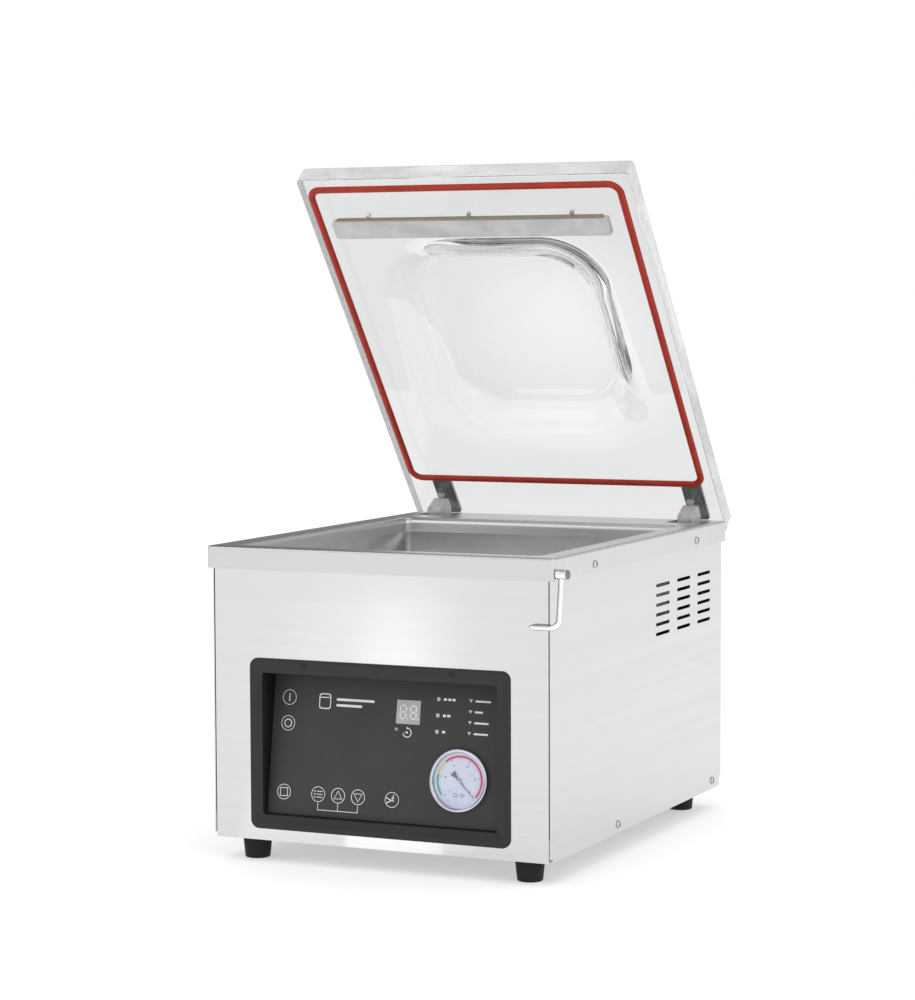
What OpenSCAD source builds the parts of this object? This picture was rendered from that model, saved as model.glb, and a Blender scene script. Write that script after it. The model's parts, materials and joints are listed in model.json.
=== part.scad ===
// Tabletop chamber vacuum packing machine: sheet steel housing, welded vacuum chamber,
// clear domed lid on two hinge arms, lift-up seal bar, lid latch, tilted control panel
// with a vacuum gauge, and the pump set inside. Millimetres, +Z up, front towards -Y.

/* [Housing] */
// Width across the side panels
body_w = 332.4; // [328:0.2:340]
// Depth from the front panel to the rear panel
body_d = 441.5; // [441:0.5:444]
// Height of the top plate's surface above the bottom edge of the panels
body_h = 266.4; // [264:0.2:270]
// Thickness of the panel sheet
sheet = 1.2; // [1:0.1:1.4]
// Thickness of the top plate and the chamber lip
plate_t = 1.5; // [1.2:0.1:1.8]
// Drop of the top plate's skirt over the panels
skirt_h = 20.4; // [18:0.2:22]
// Overhang of the skirt outside the panels
skirt_out = 3.8; // [3.2:0.1:4]
// Outside bend radius of the top plate's edges
bend_r = 2.5; // [2:0.5:4]
// Outside bend radius along the plate's rear edge, under the swinging lid
rear_bend_r = 6; // [5.5:0.5:7]
// Height of the rubber feet
foot_h = 21; // [16:1:26]

/* [Chamber] */
// Inside width of the chamber
chamber_w = 292; // [284:1:294]
// Inside length of the chamber, front to rear
chamber_l = 347.5; // [340:0.5:349]
// Front inner wall of the chamber, measured from the front panel
chamber_y = 17.5; // [17:0.5:19]
// Height of the chamber's inner floor above the bottom edge
chamber_floor = 176; // [174:1:186]
// Radius of the rolled lip around the chamber mouth
lip_r = 6; // [5:0.5:6.5]
// Wall thickness of the chamber tub
tub_t = 2; // [1.5:0.1:2.5]

/* [Lid] */
// Width of the clear lid slab
lid_w = 339.6; // [334:0.1:340]
// Length of the lid slab, front edge to rear edge
lid_l = 442.7; // [440:0.1:443]
// Thickness of the lid slab
lid_t = 20.3; // [19:0.1:21]
// Sideways offset of the lid on its hinges
lid_shift = -2; // [-2.4:0.1:0]
// Angle from closed to fully open
open_angle = 51.5; // [45:0.5:52]
// Gap left under the closed lid, a little more than the gasket stands proud
lid_gap = 3.5; // [3.5:0.1:4]
// Depth of the moulded dome above the underside of the slab
dome_depth = 37; // [30:1:38]

/* [Seal bar] */
// Length of the heated seal bar
seal_l = 270; // [260:1:274]
// Lift of the seal bar when its pistons are pressurised
seal_lift = 9; // [6:0.5:9]

/* [Latch] */
// Distance from the latch pivot to its bent grip
latch_len = 46.5; // [45:0.5:48]
// Forward lean of the hanging latch rod
latch_tilt = 8.5; // [7.5:0.5:11]
// Radius of the latch rod
latch_r = 2.6; // [2.3:0.05:2.7]

/* [Control panel] */
// Outer width of the panel bezel
bezel_w = 256; // [250:1:260]
// Outer height of the panel bezel
bezel_h = 155.4; // [150:0.2:156]
// Width of the bezel's frame above and below its opening
frame_w = 13.3; // [12.8:0.1:14]
// Width of the bezel's frame beside its opening
frame_side = 12.4; // [12:0.1:14]
// Backward tilt of the membrane panel
panel_tilt = 8.5; // [6:0.5:9]
// Radius of a round membrane key
key_r = 7.2; // [6.5:0.1:7.4]
// Outer radius of the vacuum gauge
gauge_r = 28; // [26:0.5:28.5]

/* [Hidden] */
$fn = 64;
HULL_FN = 32;

// Working gaps
gap = 0.3;
bore_gap = 0.05;
corner_gap = 1;

// Housing
panel_top = body_h - 8.4;
side_x = body_w / 2 - sheet;
plate_w = body_w + 2 * skirt_out;
plate_d = body_d + 2 * skirt_out;
skirt_z = body_h - skirt_h;
tray_z = 1.3;
tray_t = 1.5;
flange_h = 20;
foot_x = 135.7;
foot_in = 25;
foot_back = 408;
screw_r = 2;
screw_head = 2;
side_screws = [[159, 8], [416, 8]];
skirt_screws = [[93, 253], [359, 253]];
vent_cols = [275, 332.5, 390];
vent_l = 36.5;
vent_h = 3.2;
vent_pitch = 9.26;
vent_top = 218;
vent_rows = 6;

// Chamber
chamber_mid = chamber_y + chamber_l / 2;
lip_drop = 14.4;
tub_r = 6;

// Lid, in its own frame: x across, y back from the front edge, z up from the underside
lid_front = -3;
lid_base = body_h + lid_gap;
lid_corner = 3;
dome_mid = 208;
gasket_w = 317.2;
gasket_l = 368.2;
gasket_front = 11;
gasket_r = 3.6;
gasket_h = 3.2;
groove_d = 3;
pad_y = 46.4;
pad_w = 19.8;
pad_t = 5;
pad_l = 285;
pad_x = -2;
rail_t = 1.5;
rail_l = 274.6;
press_screw_y = pad_y - rail_t - 2.6;
hinge_x = 137.5;
hinge_y = 430.5;
hinge_z = 249;
arm_w = 15.4;
arm_screw_y = 414.8;
strap_y0 = 389;
strap_y1 = 438.5;
strap_w = 21;
strap_t = 3;
strap_screws = [405.5, arm_screw_y];
nut_r = 3.8;
nut_h = 3;
slot_w = 32;
slot_y0 = 399.5;
slot_y1 = 439.5;
shaft_r = 5;
cheek_in = 18;
cheek_t = 3.5;
bracket_z = 232;
bracket_floor = 4;
arm_recess = [11, 5.6, 3.4];

// Seal bar
seal_y = lid_front + pad_y + pad_w / 2;
seal_w = 14;
seal_h = 24;
seal_top = 254.4;
piston_x = 95;
piston_r = 4;

// Latch
latch_y = 3;
latch_z = 252;
latch_x0 = plate_w / 2 + gap;
collar_l = 9.7;
collar_r = 4.4;
pin_r = 1.8;
pin_head = 1.3;
rod_x = plate_w / 2 + 5;
rod_bend = 8;
grip_end = 147.7;
grip_l = rod_x - rod_bend - grip_end - latch_r;

// Control panel, in its own frame: x across, y into the machine, z up the tilted face
bezel_z = 88.3;
bezel_t = 2.5;
wall_t = 1.5;
open_w = bezel_w - 2 * frame_side;
open_h = bezel_h - 2 * frame_w;
panel_y0 = 6.2;
panel_z0 = bezel_z - open_h / 2;
panel_len = open_h / cos(panel_tilt);
film_t = 0.6;
keys = [[-99.5, 105.7], [-99.5, 82.3], [-99.5, 20.2], [-64.7, 20.2], [-44.7, 20.2], [-24.7, 20.2], [9, 20.2]];
key_h = 0.8;
key_pocket = 0.8;
display_at = [20, 98.8];
display_size = [23.4, 21.4];
gauge_at = [73.7, 41.5];
ring_w = 3.1;
case_r = gauge_r - 2;
square_leds = [[49, 112], [49, 97.6], [49, 83.2]];
arrow_leds = [[80.4, 112], [80.4, 102.4], [80.4, 92.8], [80.4, 83.2]];
red_led = [9.1, 83.2];
bezel_screws_x = 73;
bezel_screws_z = 159.4;

// Pump set
pump_x = -70;
motor_z = 80;
motor_r = 58;
motor_y0 = 100;
motor_l = 125;
fan_y = 72;
fan_r = 52;
hose_y = 395;
hose_z = 212;
hose_r = 12;
release_z = 222;
release_in = 30;
inlet_at = [106, 37];
inlet_w = 28;
inlet_h = 20;
inlet_screw_x = 20;

// Outer box at rest, and the shift that centres it over the origin
lid_pivot_y = hinge_y - lid_front;
lid_pivot_z = hinge_z - lid_base;
latch_end = latch_x0 + collar_l + gap + pin_head;
y_low = latch_y - latch_len * sin(latch_tilt) - latch_r;
y_high = hinge_y + (lid_l - lid_pivot_y) * cos(open_angle) + (lid_t - lid_pivot_z) * sin(open_angle);
shift_x = (plate_w / 2 + screw_head - latch_end) / 2;
shift_y = -(y_low + y_high) / 2;

// ---- placing ----

// Machine frame (centred in x, front panel at y = 0) to the part's frame
module placed() {
    translate([shift_x, shift_y, foot_h]) children();
}

// Lid frame to the machine frame, with the lid fully open
module on_lid() {
    translate([0, hinge_y, hinge_z])
        rotate([-open_angle, 0, 0])
            translate([0, -lid_pivot_y, -lid_pivot_z]) children();
}

// Frame of the slab itself, offset on the hinges
module on_slab() {
    on_lid() translate([lid_shift, 0, 0]) children();
}

// Panel frame to the machine frame
module on_panel() {
    translate([0, panel_y0, panel_z0]) rotate([-panel_tilt, 0, 0]) children();
}

// A cylinder along +Y or +X
module rod_y(r, l) {
    rotate([-90, 0, 0]) cylinder(r = r, h = l);
}

module rod_x(r, l) {
    rotate([0, 90, 0]) cylinder(r = r, h = l);
}

module mirrored_x() {
    children();
    mirror([1, 0, 0]) children();
}

// ---- shared shapes ----

// Rectangle with round corners, centred
module round_rect(w, d, r) {
    square([w - 2 * r, d], center = true);
    square([w, d - 2 * r], center = true);
    for (sx = [-1, 1], sy = [-1, 1])
        translate([sx * (w / 2 - r), sy * (d / 2 - r)]) circle(r = r);
}

// A 2D profile swept around a rectangle with round corners, x pointing outwards
module swept_frame(w, d, r) {
    for (k = [0:3]) {
        across = k % 2 == 0 ? w : d;
        along = k % 2 == 0 ? d : w;
        rotate([0, 0, 90 * k]) {
            translate([across / 2, 0, 0]) rotate([90, 0, 0])
                linear_extrude(height = along - 2 * r, center = true) children();
            translate([across / 2 - r, along / 2 - r, 0])
                rotate_extrude(angle = 90) translate([r, 0]) children();
        }
    }
}

// Block with its top at z = 0, round vertical edges and round top edges
module soft_box(w, d, h, r) {
    translate([-w / 2 + r, -d / 2 + r, -h]) cube([w - 2 * r, d - 2 * r, h]);
    translate([-w / 2, -d / 2 + r, -h]) cube([w, d - 2 * r, h - r]);
    translate([-w / 2 + r, -d / 2, -h]) cube([w - 2 * r, d, h - r]);
    for (sx = [-1, 1], sy = [-1, 1]) translate([sx * (w / 2 - r), sy * (d / 2 - r), 0]) {
        translate([0, 0, -h]) cylinder(r = r, h = h - r);
        translate([0, 0, -r]) sphere(r = r);
    }
    for (sy = [-1, 1]) translate([-w / 2 + r, sy * (d / 2 - r), -r]) rod_x(r, w - 2 * r);
    for (sx = [-1, 1]) translate([sx * (w / 2 - r), -d / 2 + r, -r]) rod_y(r, d - 2 * r);
}

// Rolled lip of the chamber mouth, in section: x outwards from the chamber wall, top at y = 0
module lip_section() {
    intersection() {
        translate([0, -lip_r]) square([lip_r, lip_r]);
        difference() {
            translate([lip_r, -lip_r]) circle(r = lip_r);
            translate([lip_r, -lip_r]) circle(r = lip_r - plate_t);
        }
    }
    translate([0, -lip_drop]) square([plate_t, lip_drop - lip_r]);
}

// Slot with round ends, lying along Y, cut along X
module vent_slot(depth) {
    straight = vent_l - vent_h;
    translate([0, -straight / 2, -vent_h / 2]) cube([depth, straight, vent_h]);
    for (s = [-1, 1]) translate([0, s * straight / 2, 0]) rod_x(vent_h / 2, depth);
}

// Pan head screw along -Z from its seat at z = 0, with a cross recess
module pan_screw(head_r, head_h, shank_r, shank_l) {
    recess = head_r * 0.9;
    translate([0, 0, -shank_l]) cylinder(r = shank_r, h = shank_l);
    difference() {
        cylinder(r = head_r, h = head_h);
        for (a = [0, 90]) rotate([0, 0, a])
            translate([-recess / 2, -head_r * 0.11, head_h * 0.45])
                cube([recess, head_r * 0.22, head_h]);
    }
}

// ---- housing ----

module base_tray() placed() color("silver") {
    inner = side_x - 0.1;
    difference() {
        translate([-inner, sheet + 0.1, tray_z])
            cube([2 * inner, body_d - 2 * sheet - 0.2, flange_h]);
        translate([-inner + tray_t, sheet + 0.1 + tray_t, tray_z + tray_t])
            cube([2 * (inner - tray_t), body_d - 2 * (sheet + 0.1 + tray_t), flange_h]);
        for (sx = [-1, 1], y = [foot_in, foot_back])
            translate([sx * foot_x, y, 0]) cylinder(r = 3.2, h = 10);
        for (sx = [-1, 1], s = side_screws)
            translate([sx * inner, s[0], s[1]]) rotate([0, 90, 0])
                cylinder(r = screw_r + 0.1, h = 8, center = true);
        for (i = [-3:3], j = [0:3])
            translate([i * 24, 60 + j * 14, 0]) cylinder(r = 3, h = 10);
    }
}

module front_panel() placed() color("gainsboro") {
    half = side_x - corner_gap;
    difference() {
        union() {
            translate([-half, 0, 0]) cube([2 * half, sheet, panel_top]);
            translate([-half, 0, 0]) cube([2 * half, 11, sheet]);
        }
        translate([0, -1, bezel_z]) rotate([-90, 0, 0])
            linear_extrude(height = 10) round_rect(open_w + 2 * wall_t + 0.4, open_h + 2 * wall_t + 0.4, 4);
        for (sx = [-1, 1]) translate([sx * bezel_screws_x, -1, bezel_screws_z]) rod_y(1.7, 10);
    }
}

// Right-hand side panel, with its louvre slots, lower rear corner clipped and front corner notched
module side_panel() {
    clip_y = 7;
    clip_z = 14;
    notch = 4;
    difference() {
        translate([side_x, 0, 0]) cube([sheet, body_d, panel_top]);
        for (y = vent_cols, i = [0:vent_rows - 1])
            translate([side_x - 1, y, vent_top - i * vent_pitch]) vent_slot(sheet + 2);
        for (s = concat(side_screws, skirt_screws))
            translate([side_x - 1, s[0], s[1]]) rod_x(screw_r + 0.1, sheet + 2);
        translate([side_x - 1, -1, -1]) cube([sheet + 2, notch + 1, notch + 1]);
        translate([side_x - 1, body_d, 0]) rotate([90, 0, 90]) linear_extrude(height = sheet + 2)
            polygon([[1, -1], [-clip_y, -1], [-clip_y, 0], [0, clip_z], [1, clip_z]]);
    }
}

module right_side_panel() placed() color("silver") side_panel();

module left_side_panel() placed() color("silver") mirror([1, 0, 0]) side_panel();

module rear_panel() placed() color("silver") {
    slot_l = 46;
    difference() {
        translate([-side_x + 0.5, body_d - sheet, 0]) cube([2 * side_x - 1, sheet, panel_top]);
        for (x = [-90, -30], i = [0:7])
            translate([x, body_d - sheet - 1, 96 + i * 10]) {
                translate([-slot_l / 2, 0, -1.7]) cube([slot_l, sheet + 2, 3.4]);
                for (s = [-1, 1]) translate([s * slot_l / 2, 0, 0]) rod_y(1.7, sheet + 2);
            }
        translate([inlet_at[0], body_d - 10, inlet_at[1]]) {
            translate([-inlet_w / 2 - 0.2, 0, -inlet_h / 2 - 0.2]) cube([inlet_w + 0.4, 20, inlet_h + 0.4]);
            for (sx = [-1, 1]) translate([sx * inlet_screw_x, 0, 0]) rod_y(1.6, 20);
        }
    }
}

// One surface of the top plate as a solid, with the larger bend along the rear edge
module plate_form(inset, h) {
    r = rear_bend_r - inset;
    w = plate_w - 2 * inset;
    difference() {
        translate([0, body_d / 2, body_h - inset]) soft_box(w, plate_d - 2 * inset, h, bend_r - inset);
        translate([-w / 2 - 1, body_d + skirt_out - rear_bend_r, body_h - rear_bend_r])
            rotate([90, 0, 90]) linear_extrude(height = w + 2) difference() {
                square([r + 1, r + 1]);
                circle(r = r);
            }
    }
}

module top_plate() placed() color("lightgray") {
    mouth_w = chamber_w + 2 * lip_r;
    mouth_l = chamber_l + 2 * lip_r;
    difference() {
        plate_form(0, skirt_h);
        plate_form(plate_t, skirt_h + 1);
        translate([0, chamber_mid, body_h - plate_t - 1]) linear_extrude(height = plate_t + 2)
            round_rect(mouth_w, mouth_l, tub_r + lip_r);
        for (sx = [-1, 1])
            translate([sx * hinge_x - slot_w / 2, slot_y0, body_h - plate_t - 1])
                cube([slot_w, slot_y1 - slot_y0, plate_t + 2]);
        for (sx = [-1, 1], s = skirt_screws)
            translate([sx * (plate_w / 2 - 1), s[0], s[1]]) rotate([0, 90, 0])
                cylinder(r = screw_r + 0.1, h = 8, center = true);
        translate([plate_w / 2 - 4, latch_y, latch_z]) rod_x(pin_r + 0.1, 8);
    }
    translate([0, chamber_mid, body_h]) swept_frame(chamber_w, chamber_l, tub_r) lip_section();
}

// ---- chamber ----

module vacuum_chamber() placed() color("darkgray") {
    top = body_h - lip_drop;
    deep = top - chamber_floor;
    difference() {
        translate([0, chamber_mid, chamber_floor - tub_t]) linear_extrude(height = deep + tub_t)
            round_rect(chamber_w + 2 * tub_t, chamber_l + 2 * tub_t, tub_r + tub_t);
        translate([0, chamber_mid, chamber_floor]) linear_extrude(height = deep + 1)
            round_rect(chamber_w, chamber_l, tub_r);
        translate([pump_x, chamber_y + chamber_l - 5, hose_z]) rod_y(9.1, 20);
        translate([-chamber_w / 2 - 5, chamber_y + chamber_l - release_in, release_z]) rod_x(3.1, 10);
    }
}

// Flanged tube through the chamber's rear wall, with its strainer holes
module suction_port() placed() color("dimgray") {
    wall_y = chamber_y + chamber_l;
    translate([pump_x, wall_y, hose_z]) difference() {
        union() {
            rod_y(9, 18);
            translate([0, -3, 0]) rod_y(16, 3);
        }
        translate([0, -1, 0]) rod_y(7, 20);
        for (a = [0:60:300]) rotate([0, a, 0]) translate([4.4, -4, 0]) rod_y(1.4, 6);
    }
}

// Air release nozzle through the left wall, with its cross hole
module release_fitting() placed() color("silver") {
    translate([-chamber_w / 2, chamber_y + chamber_l - release_in, release_z]) difference() {
        union() {
            rod_x(5.5, 3);
            rod_x(4, 7);
            translate([-14, 0, 0]) rod_x(3, 14);
        }
        translate([-15, 0, 0]) rod_x(1.5, 20);
        translate([5, 0, -6]) cylinder(r = 1.2, h = 12);
    }
}

module seal_bar() placed() color("gray") {
    difference() {
        translate([-seal_l / 2, seal_y - seal_w / 2, seal_top - seal_h]) cube([seal_l, seal_w, seal_h]);
        for (sx = [-1, 1])
            translate([sx * piston_x, seal_y, seal_top - seal_h - 1]) cylinder(r = piston_r, h = 13);
        for (sx = [-1, 1], sy = [-1, 1])
            translate([sx * seal_l / 2, seal_y, seal_top - 5]) rotate([90, 0, 0])
                cylinder(r = 2, h = seal_w + 2, center = true);
        for (sy = [-1, 1])
            translate([-seal_l, seal_y + sy * seal_w / 2 - 0.8, seal_top - 16]) cube([2 * seal_l, 1.6, 3]);
    }
}

module heating_strip() placed() color("dimgray") {
    translate([-seal_l / 2 + 4, seal_y - 2, seal_top]) cube([seal_l - 8, 4, 0.3]);
}

module ptfe_tape() placed() color("peru") {
    film = 0.3;
    half = seal_w / 2;
    difference() {
        translate([-seal_l / 2 + 6, seal_y - half - film, seal_top - 11])
            cube([seal_l - 12, seal_w + 2 * film, 11 + 2 * film]);
        translate([-seal_l / 2, seal_y - half, seal_top - 12]) cube([seal_l, seal_w, 12 + film]);
    }
}

module lift_cylinders() placed() color("white") {
    for (sx = [-1, 1]) translate([sx * piston_x, seal_y, chamber_floor]) difference() {
        union() {
            cylinder(r = 15, h = 26);
            cylinder(r = 19, h = 4);
            translate([0, 0, 26]) cylinder(r = 9, h = 6);
        }
        translate([0, 0, 8]) cylinder(r = piston_r + bore_gap, h = 40);
    }
}

module lift_pistons() placed() color("silver") {
    for (sx = [-1, 1])
        translate([sx * piston_x, seal_y, chamber_floor + 10])
            cylinder(r = piston_r, h = seal_top - seal_h + 12 - chamber_floor - 10);
}

// Loose plate on the chamber floor, with two finger holes
module filler_plate() placed() color("white") {
    filler = [272, 274, 14];
    filler_y = 78;
    translate([0, filler_y + filler[1] / 2, chamber_floor + gap]) linear_extrude(height = filler[2])
        difference() {
            round_rect(filler[0], filler[1], 8);
            for (sx = [-1, 1]) translate([sx * filler[0] / 3, 0]) circle(r = 14);
        }
}

// ---- lid ----

// One layer of the dome, for the hulls
module dome_layer(w, l, r, z) {
    translate([0, dome_mid, z]) linear_extrude(height = 0.2) round_rect(w, l, r, $fn = HULL_FN);
}

module lid_slab() placed() on_slab() color("lightcyan", 0.4) {
    rise = dome_depth + 14;
    difference() {
        union() {
            translate([0, lid_l / 2, 0]) linear_extrude(height = lid_t) round_rect(lid_w, lid_l, lid_corner);
            hull() {
                dome_layer(252, 268, 66, lid_t - 0.4);
                dome_layer(212, 228, 58, rise - 9);
                dome_layer(178, 194, 48, rise - 0.2);
            }
        }
        hull() {
            dome_layer(250, 266, 64, -0.3);
            dome_layer(200, 216, 54, dome_depth - 11);
            dome_layer(164, 180, 44, dome_depth - 0.2);
        }
        translate([0, gasket_front + gasket_l / 2, 0]) swept_frame(gasket_w, gasket_l, 11)
            translate([-2, -1]) square([4, groove_d + 1]);
        for (sx = [-1, 1], y = strap_screws)
            translate([sx * hinge_x - lid_shift, y, -1]) {
                cylinder(r = 2.6, h = lid_t + 2);
                if (y != arm_screw_y) cylinder(r = nut_r + 0.2, h = gap + nut_h + 1.1);
            }
        for (x = [-105, 0, 105]) translate([x, press_screw_y, -1]) cylinder(r = 1.6, h = 5);
    }
}

module lid_gasket() placed() on_slab() color("firebrick") {
    translate([0, gasket_front + gasket_l / 2, 0]) swept_frame(gasket_w, gasket_l, 11) {
        intersection() {
            translate([0, gasket_r - gasket_h]) circle(r = gasket_r);
            translate([-gasket_r, -gasket_r]) square([2 * gasket_r, gasket_r]);
        }
        translate([-2, 0]) square([4, groove_d]);
    }
}

module press_pad() placed() on_slab() color("darkgray") {
    translate([pad_x, pad_y + pad_w / 2, -pad_t]) linear_extrude(height = pad_t) round_rect(pad_l, pad_w, 2.5);
}

module press_rail() placed() on_slab() color("tan") {
    translate([pad_x - rail_l / 2, pad_y - rail_t, -pad_t]) cube([rail_l, rail_t, pad_t]);
}

module press_bar_screws() placed() on_slab() color("silver") {
    for (x = [-105, 0, 105]) translate([x, press_screw_y, 0]) rotate([180, 0, 0]) pan_screw(2.4, 1.6, 1.5, 3.5);
}

// Steel strap on the lid's outer face, running down behind its rear edge
module hinge_strap(side) {
    translate([side * hinge_x, 0, lid_t]) difference() {
        translate([0, (strap_y0 + strap_y1) / 2, 0]) linear_extrude(height = strap_t)
            round_rect(strap_w, strap_y1 - strap_y0, 3);
        for (y = strap_screws) translate([0, y, -1]) cylinder(r = 2.6, h = strap_t + 2);
    }
}

module hinge_strap_left() placed() on_lid() color("dimgray") hinge_strap(-1);

module hinge_strap_right() placed() on_lid() color("dimgray") hinge_strap(1);

// Hinge arm in section at rest, drawn in the machine frame's (y, z): round nose, hub and web,
// flat against the underside of the open lid and clear of the rear panel
module arm_section() {
    hub_r = 9.2;
    front_y = 413;
    rear_y = 439;
    plane_z = -lid_pivot_z;
    intersection() {
        union() {
            translate([hinge_y, hinge_z]) circle(r = hub_r);
            polygon([
                [hinge_y - hub_r, hinge_z], [front_y, body_h - 3], [front_y, body_h + 5.6],
                [front_y + 17.5, body_h + 15.2], [rear_y + 5, body_h + 15.2], [hinge_y + hub_r, hinge_z]
            ]);
        }
        translate([380, 230]) square([rear_y - 380, 80]);
        translate([hinge_y, hinge_z]) rotate(-open_angle) translate([-60, plane_z - 90]) square([120, 90]);
    }
}

module hinge_arm(side) {
    difference() {
        translate([side * hinge_x - arm_w / 2, 0, 0]) rotate([90, 0, 90])
            linear_extrude(height = arm_w) arm_section();
        translate([side * hinge_x - arm_w, hinge_y, hinge_z]) rod_x(shaft_r + bore_gap, 2 * arm_w);
        translate([side * hinge_x - arm_recess[0] / 2, 411, body_h + 4]) cube(arm_recess);
        on_lid() translate([side * hinge_x, arm_screw_y, -9]) cylinder(r = 2.5, h = 12);
    }
}

module hinge_arm_left() placed() color("darkgray") hinge_arm(-1);

module hinge_arm_right() placed() color("darkgray") hinge_arm(1);

module hinge_screws() placed() on_lid() color("silver") {
    for (sx = [-1, 1], y = strap_screws) translate([sx * hinge_x, y, 0]) {
        low = y == arm_screw_y ? -8 : gap + 0.5;
        translate([0, 0, lid_t + strap_t]) pan_screw(4.4, 3, 2.5, lid_t + strap_t - low);
        if (y != arm_screw_y) translate([0, 0, gap]) cylinder(r = nut_r, h = nut_h);
    }
}

module hinge_shaft() placed() color("silver") {
    translate([-160, hinge_y, hinge_z]) rod_x(shaft_r, 320);
}

// Two clevis brackets under the top plate
module hinge_brackets() placed() color("gray") {
    top = body_h - plate_t;
    y0 = 418;
    y1 = 439.8;
    for (sx = [-1, 1]) translate([sx * hinge_x, 0, 0]) difference() {
        union() {
            for (k = [-1, 1])
                translate([k * (cheek_in + cheek_t / 2) - cheek_t / 2, y0, bracket_z])
                    cube([cheek_t, y1 - y0, top - bracket_z]);
            translate([-cheek_in, y0, bracket_z]) cube([2 * cheek_in, y1 - y0, bracket_floor]);
        }
        translate([-cheek_in - cheek_t - 1, hinge_y, hinge_z]) rod_x(shaft_r, 2 * (cheek_in + cheek_t + 1));
    }
}

// Coils around the shaft beside each arm, with the fixed leg standing on the bracket
module torsion_springs() placed() color("dimgray") {
    wire_r = 1;
    coil_r = 7.2;
    pitch = 1.7;
    turns = 5;
    leg = hinge_z - bracket_z - bracket_floor;
    for (sx = [-1, 1]) translate([sx * (hinge_x - arm_w / 2 - gap - wire_r), hinge_y, hinge_z]) {
        rotate([0, -sx * 90, 0]) rotate_extrude()
            for (i = [0:turns - 1]) translate([coil_r, i * pitch]) circle(r = wire_r);
        translate([-sx * (turns - 1) * pitch, -coil_r, -leg]) cylinder(r = wire_r, h = leg);
    }
}

// ---- latch ----

module latch_pin() placed() color("silver") {
    translate([plate_w / 2 - 3.2, latch_y, latch_z]) rod_x(3, 1.7);
    translate([plate_w / 2 - 3.2, latch_y, latch_z]) rod_x(pin_r, latch_end - plate_w / 2 + 3.2);
    translate([latch_end - pin_head, latch_y, latch_z]) rod_x(3.9, pin_head);
}

module latch_collar() placed() color("silver") {
    translate([latch_x0, latch_y, latch_z]) difference() {
        rod_x(collar_r, collar_l);
        translate([-1, 0, 0]) rod_x(pin_r + bore_gap, collar_l + 2);
    }
}

// Bent rod hanging from the collar, its grip turned in over the front panel
module latch_rod() placed() color("silver") {
    translate([0, latch_y, latch_z]) rotate([-latch_tilt, 0, 0]) difference() {
        union() {
            translate([rod_x, 0, -latch_len + rod_bend]) cylinder(r = latch_r, h = latch_len - rod_bend - 2);
            translate([rod_x - rod_bend, 0, -latch_len + rod_bend]) rotate([-90, 0, 0])
                rotate_extrude(angle = 90) translate([rod_bend, 0]) circle(r = latch_r);
            translate([grip_end + latch_r, 0, -latch_len]) rod_x(latch_r, grip_l);
            translate([grip_end + latch_r, 0, -latch_len]) sphere(r = latch_r);
        }
        translate([rod_x - 10, 0, 0]) rod_x(collar_r, 20);
    }
}

// ---- control panel ----

module panel_bezel() placed() color([0.16, 0.16, 0.17]) {
    back = 40;
    difference() {
        union() {
            translate([0, -bezel_t, bezel_z]) rotate([-90, 0, 0])
                linear_extrude(height = bezel_t) round_rect(bezel_w, bezel_h, 8);
            translate([0, -1, bezel_z]) rotate([-90, 0, 0])
                linear_extrude(height = back) round_rect(open_w + 2 * wall_t, open_h + 2 * wall_t, 4);
        }
        translate([0, -bezel_t - 1, bezel_z]) rotate([-90, 0, 0])
            linear_extrude(height = back + bezel_t + 3) round_rect(open_w, open_h, 2.5);
        on_panel() translate([-200, film_t, -60]) cube([400, 80, 260]);
        for (sx = [-1, 1])
            translate([sx * bezel_screws_x, -bezel_t - 1, bezel_screws_z]) rod_y(1.7, bezel_t + 2);
    }
}

// Downward pointing triangle
module arrow_mark(side) {
    polygon([[-side / 2, side * 0.43], [side / 2, side * 0.43], [0, -side * 0.43]]);
}

module led_marks() {
    for (p = square_leds) translate(p) square([3.2, 3.2], center = true);
    for (p = arrow_leds) translate(p) arrow_mark(3.6);
    translate(red_led) square([2.4, 2.4], center = true);
}

// A 2D drawing on the panel (x, z) raised from depth y0 to depth y1
module panel_slab(y0, y1) {
    translate([0, y1, 0]) rotate([90, 0, 0]) linear_extrude(height = y1 - y0) children();
}

module control_plate() placed() on_panel() color([0.2, 0.2, 0.21]) {
    difference() {
        panel_slab(film_t, film_t + 2.2)
            translate([-open_w / 2 - wall_t, 0]) square([open_w + 2 * wall_t, panel_len]);
        panel_slab(0, 5) translate(gauge_at) circle(r = case_r + 0.2);
        panel_slab(0, 5) translate(display_at) square(display_size, center = true);
        panel_slab(0, film_t + key_pocket) for (k = keys) translate(k) circle(r = key_r + 0.4);
    }
}

module membrane_overlay() placed() on_panel() color([0.22, 0.22, 0.23]) {
    panel_slab(0, film_t) difference() {
        translate([-open_w / 2 + 0.1, 0.3]) square([open_w - 0.2, panel_len - 0.6]);
        translate(gauge_at) circle(r = case_r + 0.2);
        translate(display_at) square(display_size, center = true);
        for (k = keys) translate(k) circle(r = key_r + gap);
        led_marks();
    }
}

// One membrane key; number counts along the list of key positions
module key(number) {
    placed() on_panel() color([0.24, 0.24, 0.25])
        panel_slab(-key_h / 2, key_h / 2) translate(keys[number]) circle(r = key_r);
}

module display_module() placed() on_panel() color("lightgray") {
    panel_slab(-0.1, 0.5) translate(display_at) square(display_size, center = true);
    panel_slab(0.5, 7) translate(display_at)
        square([display_size[0] - 1, display_size[1] - 1], center = true);
}

module status_leds() placed() on_panel() color("white") {
    panel_slab(-0.1, film_t) led_marks();
}

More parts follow.
